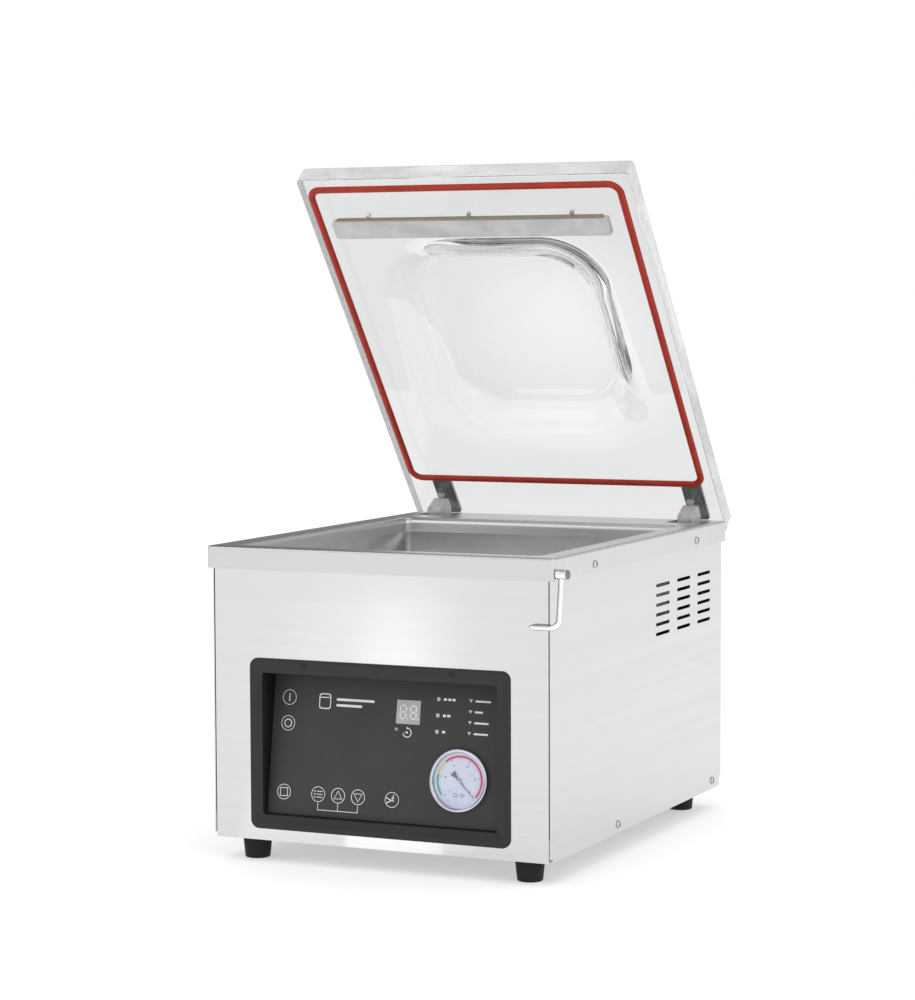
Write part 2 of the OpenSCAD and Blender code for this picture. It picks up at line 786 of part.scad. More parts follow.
module control_board() placed() on_panel() color("seagreen") {
    panel_slab(8, 9.6) translate([-108, 8]) square([146, panel_len - 18]);
    for (x = [-104, 34], z = [12, panel_len - 14]) translate([x, film_t + 2.2, z]) rod_y(2.5, 6);
    for (x = [-90, -60, -30]) translate([x, 9.6, 60]) cube([14, 9, 22]);
    for (x = [-80, -62, -44]) translate([x, 9.6, 30]) rod_y(5, 14);
    translate([-10, 9.6, 44]) cube([34, 16, 28]);
}

// ---- vacuum gauge ----

module on_gauge() {
    placed() on_panel() translate([gauge_at[0], 0, gauge_at[1]]) children();
}

module gauge_case() on_gauge() color("silver") {
    difference() {
        rod_y(case_r, 22);
        translate([0, -1, 0]) rod_y(case_r - 1.2, 21);
    }
    translate([0, 22, 0]) rod_y(7, 8);
    translate([0, 30, 0]) rod_y(4, 8);
}

module gauge_ring() on_gauge() color("silver") {
    rotate([-90, 0, 0]) rotate_extrude() difference() {
        union() {
            translate([gauge_r - ring_w, -3]) square([ring_w, 3]);
            translate([gauge_r - ring_w / 2, -3]) circle(r = ring_w / 2);
        }
        translate([gauge_r - ring_w - 1, -3.2]) square([2.2, 1]);
    }
}

module gauge_dial() on_gauge() color("lavender") {
    translate([0, 0.6, 0]) difference() {
        rod_y(case_r - 1.3, 0.6);
        translate([0, -1, 0]) rod_y(1.2, 3);
    }
}

// Pointer at rest on zero, low on the right, with a broad tail and a hub on its spindle
module gauge_needle() on_gauge() color("dimgray") {
    tip = 21;
    rotate([0, 45, 0]) translate([0, -0.4, 0]) rotate([90, 0, 0]) linear_extrude(height = 0.4) {
        polygon([[-3, 0.7], [-3, -0.7], [tip, -0.25], [tip, 0.25]]);
        polygon([[-2, 0.5], [-2, -0.5], [-9.5, -2.6], [-8.2, 0], [-9.5, 2.6]]);
    }
    translate([0, -1.2, 0]) rod_y(2, 1.2);
    translate([0, 0, 0]) rod_y(0.9, 6);
}

module gauge_lens() on_gauge() color("aliceblue", 0.3) {
    translate([0, -3.2, 0]) rod_y(gauge_r - ring_w + 1.2, 1);
}

// ---- pump set ----

module pump_body() placed() color("slategray") {
    y0 = motor_y0 + motor_l;
    foot_z = tray_z + tray_t;
    difference() {
        union() {
            translate([pump_x - 56, y0, 26]) cube([112, 84, 122]);
            translate([pump_x - 62, y0 + 84, 20]) cube([124, 96, 128]);
            for (i = [0:5]) translate([pump_x - 61, y0 + 8 + i * 13, 34]) cube([122, 4, 104]);
            for (sx = [-1, 1], y = [y0 + 14, y0 + 150])
                translate([pump_x + sx * 40 - 10, y, foot_z]) cube([20, 20, 24]);
            translate([pump_x, hose_y, 140]) cylinder(r = 9, h = 24);
        }
        translate([pump_x, hose_y, 144]) cylinder(r = 7, h = 30);
        translate([pump_x, y0 - 1, motor_z]) rod_y(9, 12);
    }
}

module pump_motor() placed() color("darkslategray") {
    translate([pump_x, 0, motor_z]) difference() {
        union() {
            translate([0, motor_y0, 0]) rod_y(motor_r - 5, motor_l);
            for (i = [0:9]) translate([0, motor_y0 + 10 + i * 11, 0]) rod_y(motor_r, 4);
            translate([0, fan_y - 12, 0]) rod_y(motor_r + 2, motor_y0 - fan_y + 15);
        }
        translate([0, fan_y - 13, 0]) rod_y(motor_r + 0.6, motor_y0 - fan_y + 12);
        translate([0, motor_y0 - 1, 0]) rod_y(6 + bore_gap, 30);
    }
    for (sx = [-1, 1]) translate([pump_x + sx * 34 - 8, motor_y0 + 30, tray_z + tray_t]) cube([16, 60, 32]);
    translate([pump_x - 30, motor_y0 + 20, motor_z + motor_r - 8]) cube([60, 76, 30]);
}

module motor_fan() placed() color("black") {
    blades = 8;
    translate([pump_x, fan_y, motor_z]) {
        rod_y(14, 18);
        rod_y(6, 50);
        for (i = [0:blades - 1]) rotate([0, i * 360 / blades, 0])
            translate([10, 2, -1]) cube([fan_r - 10, 14, 2]);
    }
}

module transformer() placed() color("goldenrod") {
    foot_z = tray_z + tray_t;
    translate([60, 110, foot_z]) {
        cube([84, 92, 3]);
        translate([10, 16, 3]) cube([64, 60, 72]);
        translate([0, 26, 14]) cube([84, 40, 50]);
    }
}

module solenoid_valves() placed() color("steelblue") {
    for (i = [0:1]) translate([50, 262 + i * 60, 120]) {
        cube([30, 30, 34]);
        translate([15, 15, 34]) cylinder(r = 8, h = 16);
        translate([30, 15, 12]) rod_x(6, 18);
        translate([4, -1, -118 + tray_z + tray_t + 0.2]) cube([22, 3, 118 - tray_z - tray_t]);
    }
}

// Suction hose from the pump up to the tube of the suction port
module vacuum_hose() placed() color([0.15, 0.15, 0.15]) {
    bend = 15;
    start_y = chamber_y + chamber_l + tub_t + 0.2;
    difference() {
        union() {
            translate([pump_x, hose_y, 150]) cylinder(r = hose_r, h = hose_z - bend - 150);
            translate([pump_x, hose_y - bend, hose_z - bend]) rotate([90, 0, 90])
                rotate_extrude(angle = 90) translate([bend, 0]) circle(r = hose_r);
            translate([pump_x, start_y, hose_z]) rod_y(hose_r, hose_y - bend - start_y);
        }
        translate([pump_x, hose_y, 149]) cylinder(r = 9, h = 70);
        translate([pump_x, start_y - 1, hose_z]) rod_y(9, 18);
    }
}

// ---- rear fittings, feet and screws ----

// Appliance inlet with three flat pins in a keyed socket
module power_inlet() placed() color([0.1, 0.1, 0.1]) {
    flange_t = 3;
    depth = 24;
    translate([inlet_at[0], body_d, inlet_at[1]]) {
        difference() {
            union() {
                rotate([-90, 0, 0]) linear_extrude(height = flange_t) round_rect(50, 27, 5);
                translate([-inlet_w / 2, -depth, -inlet_h / 2]) cube([inlet_w, depth, inlet_h]);
            }
            translate([0, -depth + 5, 0]) rotate([90, 0, 180]) linear_extrude(height = depth + flange_t)
                polygon([[-12.2, -8.2], [12.2, -8.2], [12.2, 4], [8, 8.2], [-8, 8.2], [-12.2, 4]]);
            for (sx = [-1, 1]) translate([sx * inlet_screw_x, -1, 0]) rod_y(1.6, flange_t + 2);
        }
        for (p = [[-7, -2], [0, 2], [7, -2]]) translate([p[0] - 1, -depth + 4, p[1] - 2]) cube([2, 17, 4]);
    }
}

module inlet_screws() placed() color("silver") {
    for (sx = [-1, 1]) translate([inlet_at[0] + sx * inlet_screw_x, body_d + 3, inlet_at[1]])
        rotate([-90, 0, 0]) pan_screw(2.8, 1.5, 1.5, 8);
}

module rubber_feet() placed() color([0.08, 0.08, 0.08]) {
    for (sx = [-1, 1], y = [foot_in, foot_back]) translate([sx * foot_x, y, -foot_h]) {
        cylinder(r1 = 11.6, r2 = 13.5, h = foot_h);
        cylinder(r = 8, h = foot_h + tray_z);
        cylinder(r = 3, h = foot_h + 9);
    }
}

module cover_screws() placed() color("silver") {
    mirrored_x() {
        for (s = side_screws) translate([body_w / 2, s[0], s[1]]) rotate([0, 90, 0])
            pan_screw(3.6, screw_head, screw_r, 7);
        for (s = skirt_screws) translate([plate_w / 2, s[0], s[1]]) rotate([0, 90, 0])
            pan_screw(3.6, screw_head, screw_r, 9);
    }
}

module bezel_screws() placed() color("black") {
    for (sx = [-1, 1]) translate([sx * bezel_screws_x, -bezel_t, bezel_screws_z]) rotate([90, 0, 0])
        pan_screw(3.1, 1.4, 1.6, 7);
}

base_tray();
front_panel();
left_side_panel();
right_side_panel();
rear_panel();
top_plate();
vacuum_chamber();
suction_port();
release_fitting();
seal_bar();
heating_strip();
ptfe_tape();
lift_cylinders();
lift_pistons();
filler_plate();
lid_slab();
lid_gasket();
press_pad();
press_rail();
press_bar_screws();
hinge_strap_left();
hinge_strap_right();
hinge_arm_left();
hinge_arm_right();
hinge_screws();
hinge_shaft();
hinge_brackets();
torsion_springs();
latch_pin();
latch_collar();
latch_rod();
panel_bezel();
control_plate();
membrane_overlay();
key(0);  // key_on
key(1);  // key_off
key(2);  // key_stop
key(3);  // key_menu
key(4);  // key_up
key(5);  // key_down
key(6);  // key_seal
display_module();
status_leds();
control_board();
gauge_case();
gauge_ring();
gauge_dial();
gauge_needle();
gauge_lens();
pump_body();
pump_motor();
motor_fan();
transformer();
solenoid_valves();
vacuum_hose();
power_inlet();
inlet_screws();
rubber_feet();
cover_screws();
bezel_screws();
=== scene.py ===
"""Looks of the tabletop vacuum packing machine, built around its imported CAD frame."""

import json
import math

import bmesh
import bpy
from mathutils import Matrix, Vector


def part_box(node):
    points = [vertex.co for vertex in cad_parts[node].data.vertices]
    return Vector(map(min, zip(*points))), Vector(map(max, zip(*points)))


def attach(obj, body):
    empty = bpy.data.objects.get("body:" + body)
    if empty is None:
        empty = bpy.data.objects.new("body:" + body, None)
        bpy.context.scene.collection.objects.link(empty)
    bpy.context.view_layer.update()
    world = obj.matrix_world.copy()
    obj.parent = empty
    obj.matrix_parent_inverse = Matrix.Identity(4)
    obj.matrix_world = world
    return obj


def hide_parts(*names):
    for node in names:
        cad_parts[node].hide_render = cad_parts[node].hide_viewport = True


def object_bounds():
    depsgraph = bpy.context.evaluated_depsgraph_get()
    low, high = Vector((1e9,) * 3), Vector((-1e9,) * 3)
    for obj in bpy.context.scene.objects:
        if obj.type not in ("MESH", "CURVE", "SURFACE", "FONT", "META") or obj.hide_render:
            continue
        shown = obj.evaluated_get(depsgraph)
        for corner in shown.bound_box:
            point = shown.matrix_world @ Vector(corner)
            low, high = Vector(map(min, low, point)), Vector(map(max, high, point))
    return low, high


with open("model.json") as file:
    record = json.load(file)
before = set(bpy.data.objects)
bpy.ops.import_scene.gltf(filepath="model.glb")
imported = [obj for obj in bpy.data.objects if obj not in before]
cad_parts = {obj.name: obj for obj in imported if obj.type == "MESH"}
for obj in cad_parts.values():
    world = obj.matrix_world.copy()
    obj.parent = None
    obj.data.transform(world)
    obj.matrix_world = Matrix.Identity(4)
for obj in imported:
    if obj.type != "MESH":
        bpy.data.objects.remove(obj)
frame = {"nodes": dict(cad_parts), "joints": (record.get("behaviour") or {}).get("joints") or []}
cad_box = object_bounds()
nodes = frame["nodes"]
joints = {j["name"]: j for j in frame["joints"]}

MM = 0.001

# ---------------------------------------------------------------- the machine's own frames

# The machine frame: x from the middle, y back from the front panel, z up from the panels' lower edge
left_low, left_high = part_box("left_side_panel")
right_low, right_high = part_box("right_side_panel")
front_low, front_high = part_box("front_panel")
MIDDLE_X = (left_low.x + right_high.x) / 2
MACHINE = Matrix.Translation((MIDDLE_X, front_low.y, right_low.z)) @ Matrix.Scale(MM, 4)

# The lid frame: x from the slab's middle, y back from its front edge, z out from its underside
slab_low, slab_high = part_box("lid_slab")
OPEN = math.radians(joints["lid_hinge"]["range_deg"][1])
LID_PIVOT = Vector((0, 433.5, -20.9))
HINGE = Vector(joints["lid_hinge"]["pos_m"])
LID = (
    Matrix.Translation(((slab_low.x + slab_high.x) / 2, HINGE.y, HINGE.z))
    @ Matrix.Rotation(-OPEN, 4, "X")
    @ Matrix.Scale(MM, 4)
    @ Matrix.Translation(-LID_PIVOT)
)

# The panel frame: x from the middle, y into the machine, z up the tilted face
PANEL_NORMAL = Vector(joints["key_on_press"]["axis"])
PANEL_TILT = math.asin(-PANEL_NORMAL.z)
PANEL_FOOT_Y = 6.2
PANEL_FOOT_Z = 23.9
PANEL = (
    MACHINE @ Matrix.Translation((0, PANEL_FOOT_Y, PANEL_FOOT_Z)) @ Matrix.Rotation(-PANEL_TILT, 4, "X")
)
GAUGE_AT = (73.7, 41.5)
GAUGE = PANEL @ Matrix.Translation((GAUGE_AT[0], 0, GAUGE_AT[1]))


# ---------------------------------------------------------------- camera


def photo_camera():
    """The camera of the photograph: from the front right, a little above the lid's hinge."""
    yaw, pitch, roll = math.radians(24.593), math.radians(4.062), math.radians(-0.206)
    data = bpy.data.cameras.new("camera")
    data.lens = 101.84
    data.clip_end = 60
    camera = bpy.data.objects.new("camera", data)
    camera.matrix_world = (
        Matrix.Translation(MACHINE @ Vector((1099.92, -2232.10, 488.17)))
        @ Matrix.Rotation(yaw, 4, "Z")
        @ Matrix.Rotation(math.pi / 2 - pitch, 4, "X")
        @ Matrix.Rotation(roll, 4, "Z")
    )
    bpy.context.scene.collection.objects.link(camera)
    bpy.context.scene.camera = camera


photo_camera()


# ---------------------------------------------------------------- mesh helpers


def mesh_object(name, verts, faces, smooth=True):
    """A new object in the scene from points and faces."""
    mesh = bpy.data.meshes.new(name)
    mesh.from_pydata([tuple(v) for v in verts], [], faces)
    mesh.validate()
    mesh.polygons.foreach_set("use_smooth", [smooth] * len(mesh.polygons))
    mesh.update()
    obj = bpy.data.objects.new(name, mesh)
    bpy.context.scene.collection.objects.link(obj)
    return obj


def loft(name, rings, cap_start=False, cap_end=False, closed=False):
    """Faces between rings of equal length, each ring a closed loop of points."""
    n = len(rings[0])
    verts = [p for ring in rings for p in ring]
    faces = []
    spans = len(rings) if closed else len(rings) - 1
    for i in range(spans):
        a, b = i * n, ((i + 1) % len(rings)) * n
        for j in range(n):
            k = (j + 1) % n
            faces.append((a + j, a + k, b + k, b + j))
    if cap_start:
        faces.append(tuple(reversed(range(n))))
    if cap_end:
        faces.append(tuple(range((len(rings) - 1) * n, len(rings) * n)))
    return mesh_object(name, verts, faces)


def round_rect(w, l, r, n=14, centre=(0, 0)):
    """Points of a rectangle w by l with corners of radius r, counter-clockwise, n + 1 to a corner."""
    points = []
    for i, (sx, sy) in enumerate([(1, -1), (1, 1), (-1, 1), (-1, -1)]):
        for k in range(n + 1):
            a = math.radians(-90 + 90 * i + 90 * k / n)
            x = centre[0] + sx * (w / 2 - r) + r * math.cos(a)
            y = centre[1] + sy * (l / 2 - r) + r * math.sin(a)
            points.append((x, y))
    return points


def circle(r, n=64):
    """Points of a circle about the origin, counter-clockwise."""
    return [(r * math.cos(math.tau * k / n), r * math.sin(math.tau * k / n)) for k in range(n)]


def lathe(name, profile, n=64, cap_start=True, cap_end=True):
    """A turned solid about Z from (radius, height) pairs."""
    rings = [[(x, y, z) for x, y in circle(r, n)] for r, z in profile]
    return loft(name, rings, cap_start, cap_end)


def arc(centre, r, start, end, steps=6):
    """Points of an arc in a profile, with angles in degrees."""
    points = []
    for k in range(steps + 1):
        a = math.radians(start + (end - start) * k / steps)
        points.append((centre[0] + r * math.cos(a), centre[1] + r * math.sin(a)))
    return points


def joined(name, parts):
    """One object from several, with their transforms applied."""
    verts, faces, smooth = [], [], []
    for part in parts:
        base = len(verts)
        verts += [part.matrix_world @ v.co for v in part.data.vertices]
        faces += [tuple(base + i for i in p.vertices) for p in part.data.polygons]
        smooth += [p.use_smooth for p in part.data.polygons]
        bpy.data.objects.remove(part)
    obj = mesh_object(name, verts, faces)
    obj.data.polygons.foreach_set("use_smooth", smooth)
    return obj


def moved(obj, matrix):
    """The object with a matrix applied to its mesh."""
    obj.data.transform(matrix)
    if matrix.determinant() < 0:
        obj.data.flip_normals()
    obj.data.update()
    return obj


def outward(obj):
    """Makes every closed shell's faces look outwards."""
    bm = bmesh.new()
    bm.from_mesh(obj.data)
    bmesh.ops.recalc_face_normals(bm, faces=bm.faces)
    bm.to_mesh(obj.data)
    bm.free()
    return obj


def eased(obj, width, segments=2, angle=30, weld=False):
    """Rounds the object's hard edges by width millimetres and evens out its shading."""
    if weld:
        join = obj.modifiers.new("weld", "WELD")
        join.merge_threshold = 1e-6
    bevel = obj.modifiers.new("bevel", "BEVEL")
    bevel.width = width * MM
    bevel.segments = segments
    bevel.limit_method = "ANGLE"
    bevel.angle_limit = math.radians(angle)
    bevel.use_clamp_overlap = True
    normals = obj.modifiers.new("normals", "WEIGHTED_NORMAL")
    normals.keep_sharp = False
    normals.weight = 60
    return obj


def piece(obj, body, look, replaces=(), ease=None):
    """Hands a finished piece to the frame with its material."""
    obj.data.materials.clear()
    obj.data.materials.append(look)
    if ease:
        eased(obj, ease)
    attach(obj, body)
    if replaces:
        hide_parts(*replaces)
    return obj


def cad(node, look, ease=0.3, angle=30):
    """Keeps a CAD node, with a better material and eased edges."""
    obj = nodes[node]
    for slot in obj.material_slots:
        slot.material = look
    if ease:
        eased(obj, ease, angle=angle, weld=True)
    return obj


# ---------------------------------------------------------------- material helpers


def srgb(code):
    """Linear colour of a six digit hex code."""
    values = [int(code[i : i + 2], 16) / 255 for i in (0, 2, 4)]
    return tuple(v / 12.92 if v <= 0.04045 else ((v + 0.055) / 1.055) ** 2.4 for v in values) + (1,)


def tone(colour, factor):
    """The colour made lighter or darker."""
    return tuple(min(1, c * factor) for c in colour[:3]) + (1,)


class Look:
    """A Principled material with procedural detail added step by step."""

    def __init__(self, name, **sockets):
        self.material = bpy.data.materials.new(name)
        self.material.use_nodes = True
        self.tree = self.material.node_tree
        self.shader = self.tree.nodes["Principled BSDF"]
        for key, value in sockets.items():
            self.shader.inputs[key.replace("_", " ")].default_value = value
        self.normal = None

    def node(self, kind, **settings):
        made = self.tree.nodes.new(kind)
        for key, value in settings.items():
            if key in made.inputs:
                made.inputs[key].default_value = value
            else:
                setattr(made, key, value)
        return made

    def link(self, a, b):
        self.tree.links.new(a, b)

    def coords(self, scale=(1, 1, 1)):
        """Object coordinates in millimetres, stretched by scale."""
        place = self.node("ShaderNodeTexCoord")
        mapping = self.node("ShaderNodeMapping")
        mapping.inputs["Scale"].default_value = [s / MM for s in scale]
        self.link(place.outputs["Object"], mapping.inputs["Vector"])
        return mapping.outputs["Vector"]

    def noise(self, coords, scale=1.0, detail=4.0, roughness=0.55):
        made = self.node("ShaderNodeTexNoise", Scale=scale, Detail=detail, Roughness=roughness)
        self.link(coords, made.inputs["Vector"])
        return made.outputs["Fac"]

    def spread(self, value, low, high, from_low=0.3, from_high=0.7):
        """Maps a texture value to a range."""
        made = self.node("ShaderNodeMapRange")
        made.inputs["From Min"].default_value = from_low
        made.inputs["From Max"].default_value = from_high
        made.inputs["To Min"].default_value = low
        made.inputs["To Max"].default_value = high
        self.link(value, made.inputs["Value"])
        return made.outputs["Result"]

    def colour(self, value, dark, light, low=0.3, high=0.7):
        """Base colour between two tones, by a texture value."""
        ramp = self.node("ShaderNodeValToRGB")
        ramp.color_ramp.elements[0].position = low
        ramp.color_ramp.elements[0].color = dark
        ramp.color_ramp.elements[1].position = high
        ramp.color_ramp.elements[1].color = light
        self.link(value, ramp.inputs["Fac"])
        self.link(ramp.outputs["Color"], self.shader.inputs["Base Color"])
        return self

    def rough(self, value, low, high, from_low=0.3, from_high=0.7):
        """Roughness between two values, by a texture value."""
        self.link(self.spread(value, low, high, from_low, from_high), self.shader.inputs["Roughness"])
        return self

    def bump(self, value, strength, depth):
        """Adds relief; depth is in millimetres."""
        made = self.node("ShaderNodeBump", Strength=strength, Distance=depth * MM)
        self.link(value, made.inputs["Height"])
        if self.normal:
            self.link(self.normal, made.inputs["Normal"])
        self.normal = made.outputs["Normal"]
        self.link(self.normal, self.shader.inputs["Normal"])
        return self


# ---------------------------------------------------------------- materials


def brushed(name, colour, along, rough=(0.2, 0.3)):
    """Brushed stainless sheet with its grain along one axis."""
    across = [1.0 if axis != along else 0.012 for axis in "xyz"]
    look = Look(name, Metallic=1.0)
    grain = look.noise(look.coords(across), scale=2.2, detail=3)
    bands = look.noise(look.coords([a * 0.12 for a in across]), scale=1.0, detail=5)
    cloud = look.noise(look.coords(), scale=0.006, detail=3)
    mixed = look.node("ShaderNodeMath", operation="ADD")
    look.link(look.spread(grain, 0.0, 0.5), mixed.inputs[0])
    look.link(look.spread(bands, 0.0, 0.5), mixed.inputs[1])
    look.colour(mixed.outputs[0], tone(colour, 0.95), tone(colour, 1.03), 0.0, 1.0)
    look.rough(cloud, rough[0], rough[1])
    look.bump(grain, 0.03, 0.01)
    return look.material


def satin_metal(name, colour, rough=(0.28, 0.4), grain=0.8, depth=0.02, metallic=1.0, bump=0.25):
    """Blasted, cast or rolled metal: a fine even texture and slow clouding."""
    look = Look(name, Metallic=metallic)
    fine = look.noise(look.coords(), scale=grain, detail=6)
    cloud = look.noise(look.coords(), scale=0.03, detail=4)
    look.colour(cloud, tone(colour, 0.92), tone(colour, 1.05))
    look.rough(fine, rough[0], rough[1])
    look.bump(fine, bump, depth)
    return look.material


def metal_with_painted_rim_shade(name, colour, rough):
    """Drawn and polished rod with painted shade: the colour darkens where the surface turns away from
    view, leaving a painted highlight along the middle.
    """
    look = Look(name, Metallic=1.0)
    drawn = look.noise(look.coords(), scale=1.2, detail=6)
    painted_rim_shade = look.node("ShaderNodeLayerWeight", Blend=0.5)
    # painted shade and highlight: the colour falls to 0.3 of itself where the surface turns away from
    # view, so the middle reads as a bright painted highlight
    look.colour(painted_rim_shade.outputs["Facing"], colour, tone(colour, 0.3), 0.3, 0.85)
    look.rough(drawn, rough[0], rough[1])
    look.bump(drawn, 0.25, 0.008)
    return look.material


def glowing_enamel(name, colour):
    """Bright printed enamel under glass, with a painted glow: a little emission of its own colour that
    lightens the dial, though it is no lamp.
    """
    return plastic(
        # painted glow: each dial colour also emits itself at strength 0.2
        name, colour, (0.4, 0.5), grain=2.0, depth=0.002, Emission_Color=colour, Emission_Strength=0.2
    )


def plastic(name, colour, rough=(0.35, 0.5), grain=1.6, depth=0.02, bump=0.2, **sockets):
    """Moulded plastic with a fine spark-eroded grain and slight handling sheen."""
    look = Look(name, **sockets)
    fine = look.noise(look.coords(), scale=grain, detail=5)
    cloud = look.noise(look.coords(), scale=0.02, detail=4)
    look.colour(cloud, tone(colour, 0.9), tone(colour, 1.12))
    look.rough(cloud, rough[0], rough[1])
    look.bump(fine, bump, depth)
    return look.material


def rubber(name, colour, rough=(0.55, 0.75), sheen=0.1):
    """Moulded rubber: a dull, faintly grained skin."""
    look = Look(name, Sheen_Weight=sheen, Specular_IOR_Level=0.3)
    fine = look.noise(look.coords(), scale=1.1, detail=6)
    cloud = look.noise(look.coords(), scale=0.05, detail=3)
    look.colour(cloud, tone(colour, 0.85), tone(colour, 1.15))
    look.rough(fine, rough[0], rough[1])
    look.bump(fine, 0.2, 0.05)
    return look.material


MOST_BOUNCES = 5  # inside a clear wall before a ray is let out
# painted light: the lid's tint is palest round this spot
PAINTED_LIGHT_SPOT = Vector((40, 190, 0))  # on the lid


def acrylic():
    """Cast clear acrylic: polished faces with faint haze, ripples left by the mould, and a tint
    with painted light in it: palest round one spot near the middle of the lid and darker away from it."""
    look = Look("acrylic", Transmission_Weight=1.0, IOR=1.4)
    ripple = look.noise(look.coords(), scale=0.012, detail=2)
    haze = look.noise(look.coords(), scale=0.01, detail=3)
    reach = look.node("ShaderNodeVectorMath", operation="DISTANCE")
    reach.inputs[1].default_value = (LID @ PAINTED_LIGHT_SPOT) / MM
    look.link(look.coords(), reach.inputs[0])
    # painted light: the tint runs from pale at the spot to darker 160 mm away
    painted_light_fade = look.spread(reach.outputs["Value"], 1, 0, 40, 160)
    look.colour(painted_light_fade, srgb("e2e3e3"), srgb("f6f6f6"), 0, 1)
    look.rough(haze, 0.01, 0.03)
    look.bump(ripple, 0.1, 0.3)
    return lamplit(look, srgb("eeeff0"))


def milled_acrylic():
    """The lid's cut edges: saw and cutter marks under a flame polish, milky against the light."""
    look = Look("cut_acrylic", Transmission_Weight=0.45, IOR=1.49)
    cuts = look.noise(look.coords((0.05, 0.4, 0.05)), scale=1.0, detail=5)
    cloud = look.noise(look.coords((0.03, 0.1, 0.1)), scale=1.0, detail=4)
    look.colour(cloud, srgb("dfe0e0"), srgb("f0f0f0"))
    look.rough(cuts, 0.22, 0.42)
    look.bump(cuts, 0.05, 0.05)
    return lamplit(look, srgb("e4e5e6"))


def lamplit(look, tint):
    """Lets lamp light, and a ray caught between the faces, go straight through a clear material."""
    clear = look.node("ShaderNodeBsdfTransparent")
    clear.inputs["Color"].default_value = tint
    path = look.node("ShaderNodeLightPath")
    trapped = look.node("ShaderNodeMath", operation="GREATER_THAN")
    trapped.inputs[1].default_value = MOST_BOUNCES
    look.link(path.outputs["Ray Depth"], trapped.inputs[0])
    either = look.node("ShaderNodeMath", operation="MAXIMUM")
    look.link(path.outputs["Is Shadow Ray"], either.inputs[0])
    look.link(trapped.outputs[0], either.inputs[1])
    mix = look.node("ShaderNodeMixShader")
    look.link(either.outputs[0], mix.inputs[0])
    look.link(look.shader.outputs[0], mix.inputs[1])
    look.link(clear.outputs[0], mix.inputs[2])
    look.link(mix.outputs[0], look.tree.nodes["Material Output"].inputs["Surface"])
    return look.material


def glass_pane():
    """The gauge's flat window, with a trace of dust."""
    look = Look("gauge_glass", Transmission_Weight=1.0, IOR=1.5, Roughness=0.02)
    dust = look.noise(look.coords(), scale=0.4, detail=5)
    look.colour(dust, srgb("eef0f8"), srgb("fafbff"))
    return lamplit(look, srgb("f4f5f8"))


def ptfe_cloth():
    """Coated glass cloth: a fine weave under a glossy brown film."""
    look = Look("ptfe_cloth", Coat_Weight=0.3, Coat_Roughness=0.2)
    weave = look.noise(look.coords(), scale=1.4, detail=2)
    look.colour(weave, srgb("7a5a38"), srgb("9c7850"))
    look.rough(weave, 0.35, 0.5)
    look.bump(weave, 0.3, 0.05)
    return look.material


STEEL = srgb("d1d1d2")
front_steel = brushed("front_steel", STEEL, "x", (0.10, 0.14))
side_steel = brushed("side_steel", STEEL, "y", (0.16, 0.22))
rear_steel = brushed("rear_steel", STEEL, "x", (0.22, 0.3))
plate_steel = brushed("plate_steel", srgb("d0d0d1"), "x", (0.26, 0.34))
tub_steel = satin_metal("tub_steel", srgb("c0c0c1"), (0.3, 0.38), grain=0.2, depth=0.003, bump=0.06)
tray_steel = satin_metal("tray_steel", srgb("a8aaad"), (0.35, 0.5), grain=0.15)
dark_steel = satin_metal("dark_steel", srgb("9a9d9d"), (0.3, 0.42), metallic=0.75)
bright_steel = satin_metal("bright_steel", srgb("d8d8da"), (0.12, 0.22), grain=1.5, depth=0.005)
# latch, pin and screw steel carry painted shade at their turned-away edges and a painted highlight along
# the middle
latch_steel = metal_with_painted_rim_shade("latch_steel", srgb("f2f2f3"), (0.16, 0.26))
pin_steel = metal_with_painted_rim_shade("pin_steel", srgb("8f8f91"), (0.2, 0.3))
screw_steel = metal_with_painted_rim_shade("screw_steel", srgb("cccccd"), (0.2, 0.3))
casting = satin_metal("casting", srgb("c9cacb"), (0.42, 0.55), grain=1.3, depth=0.06, metallic=0.45)
brass = satin_metal("brass", srgb("ada38e"), (0.3, 0.45))
milled = brushed("milled", srgb("cfd0d2"), "x", (0.25, 0.4))
spring_wire = satin_metal("spring_wire", srgb("4a4b4d"), (0.25, 0.4))
chrome = satin_metal("chrome", srgb("c9cad8"), (0.06, 0.14), grain=0.9, depth=0.003)
clear_acrylic = acrylic()
cut_acrylic = milled_acrylic()
pane = glass_pane()
silicone = rubber("silicone", srgb("982612"), (0.3, 0.42), 0.0)
pad_rubber = rubber("pad_rubber", srgb("b9b9b9"), (0.5, 0.7))
black_rubber = rubber("black_rubber", srgb("131313"), (0.5, 0.7), 0.0)
hose_rubber = rubber("hose_rubber", srgb("2a2a2c"))
DULL = {"Specular_IOR_Level": 0.28}
bezel_black = plastic("bezel_black", srgb("252526"), (0.34, 0.46), depth=0.03, **DULL)
film_black = plastic("film_black", srgb("363637"), (0.42, 0.55), grain=3.0, depth=0.01, **DULL)
key_black = plastic("key_black", srgb("383839"), (0.4, 0.52), grain=3.0, depth=0.01, **DULL)
white_plastic = plastic("white_plastic", srgb("e6e6e2"), (0.4, 0.55), grain=0.8)
black_plastic = plastic("black_plastic", srgb("232324"), (0.35, 0.5))
screw_black = plastic("screw_black", srgb("0e0e0f"), (0.16, 0.26), depth=0.004)
print_white = plastic("print_white", srgb("d4d4d4"), (0.5, 0.6), grain=4.0, depth=0.002)
lamp_white = plastic("lamp_white", srgb("b4b4b6"), (0.2, 0.3), grain=2.0, depth=0.005)
lamp_red = plastic("lamp_red", srgb("c88a8c"), (0.2, 0.3), grain=2.0, depth=0.005)
window_grey = plastic("window_grey", srgb("a4a6a8"), (0.12, 0.2), grain=0.6, depth=0.004)
segment_grey = plastic("segment_grey", srgb("d6d8da"), (0.2, 0.3), grain=2.0, depth=0.002)
board_green = plastic("board_green", srgb("1e5a38"), (0.3, 0.5))
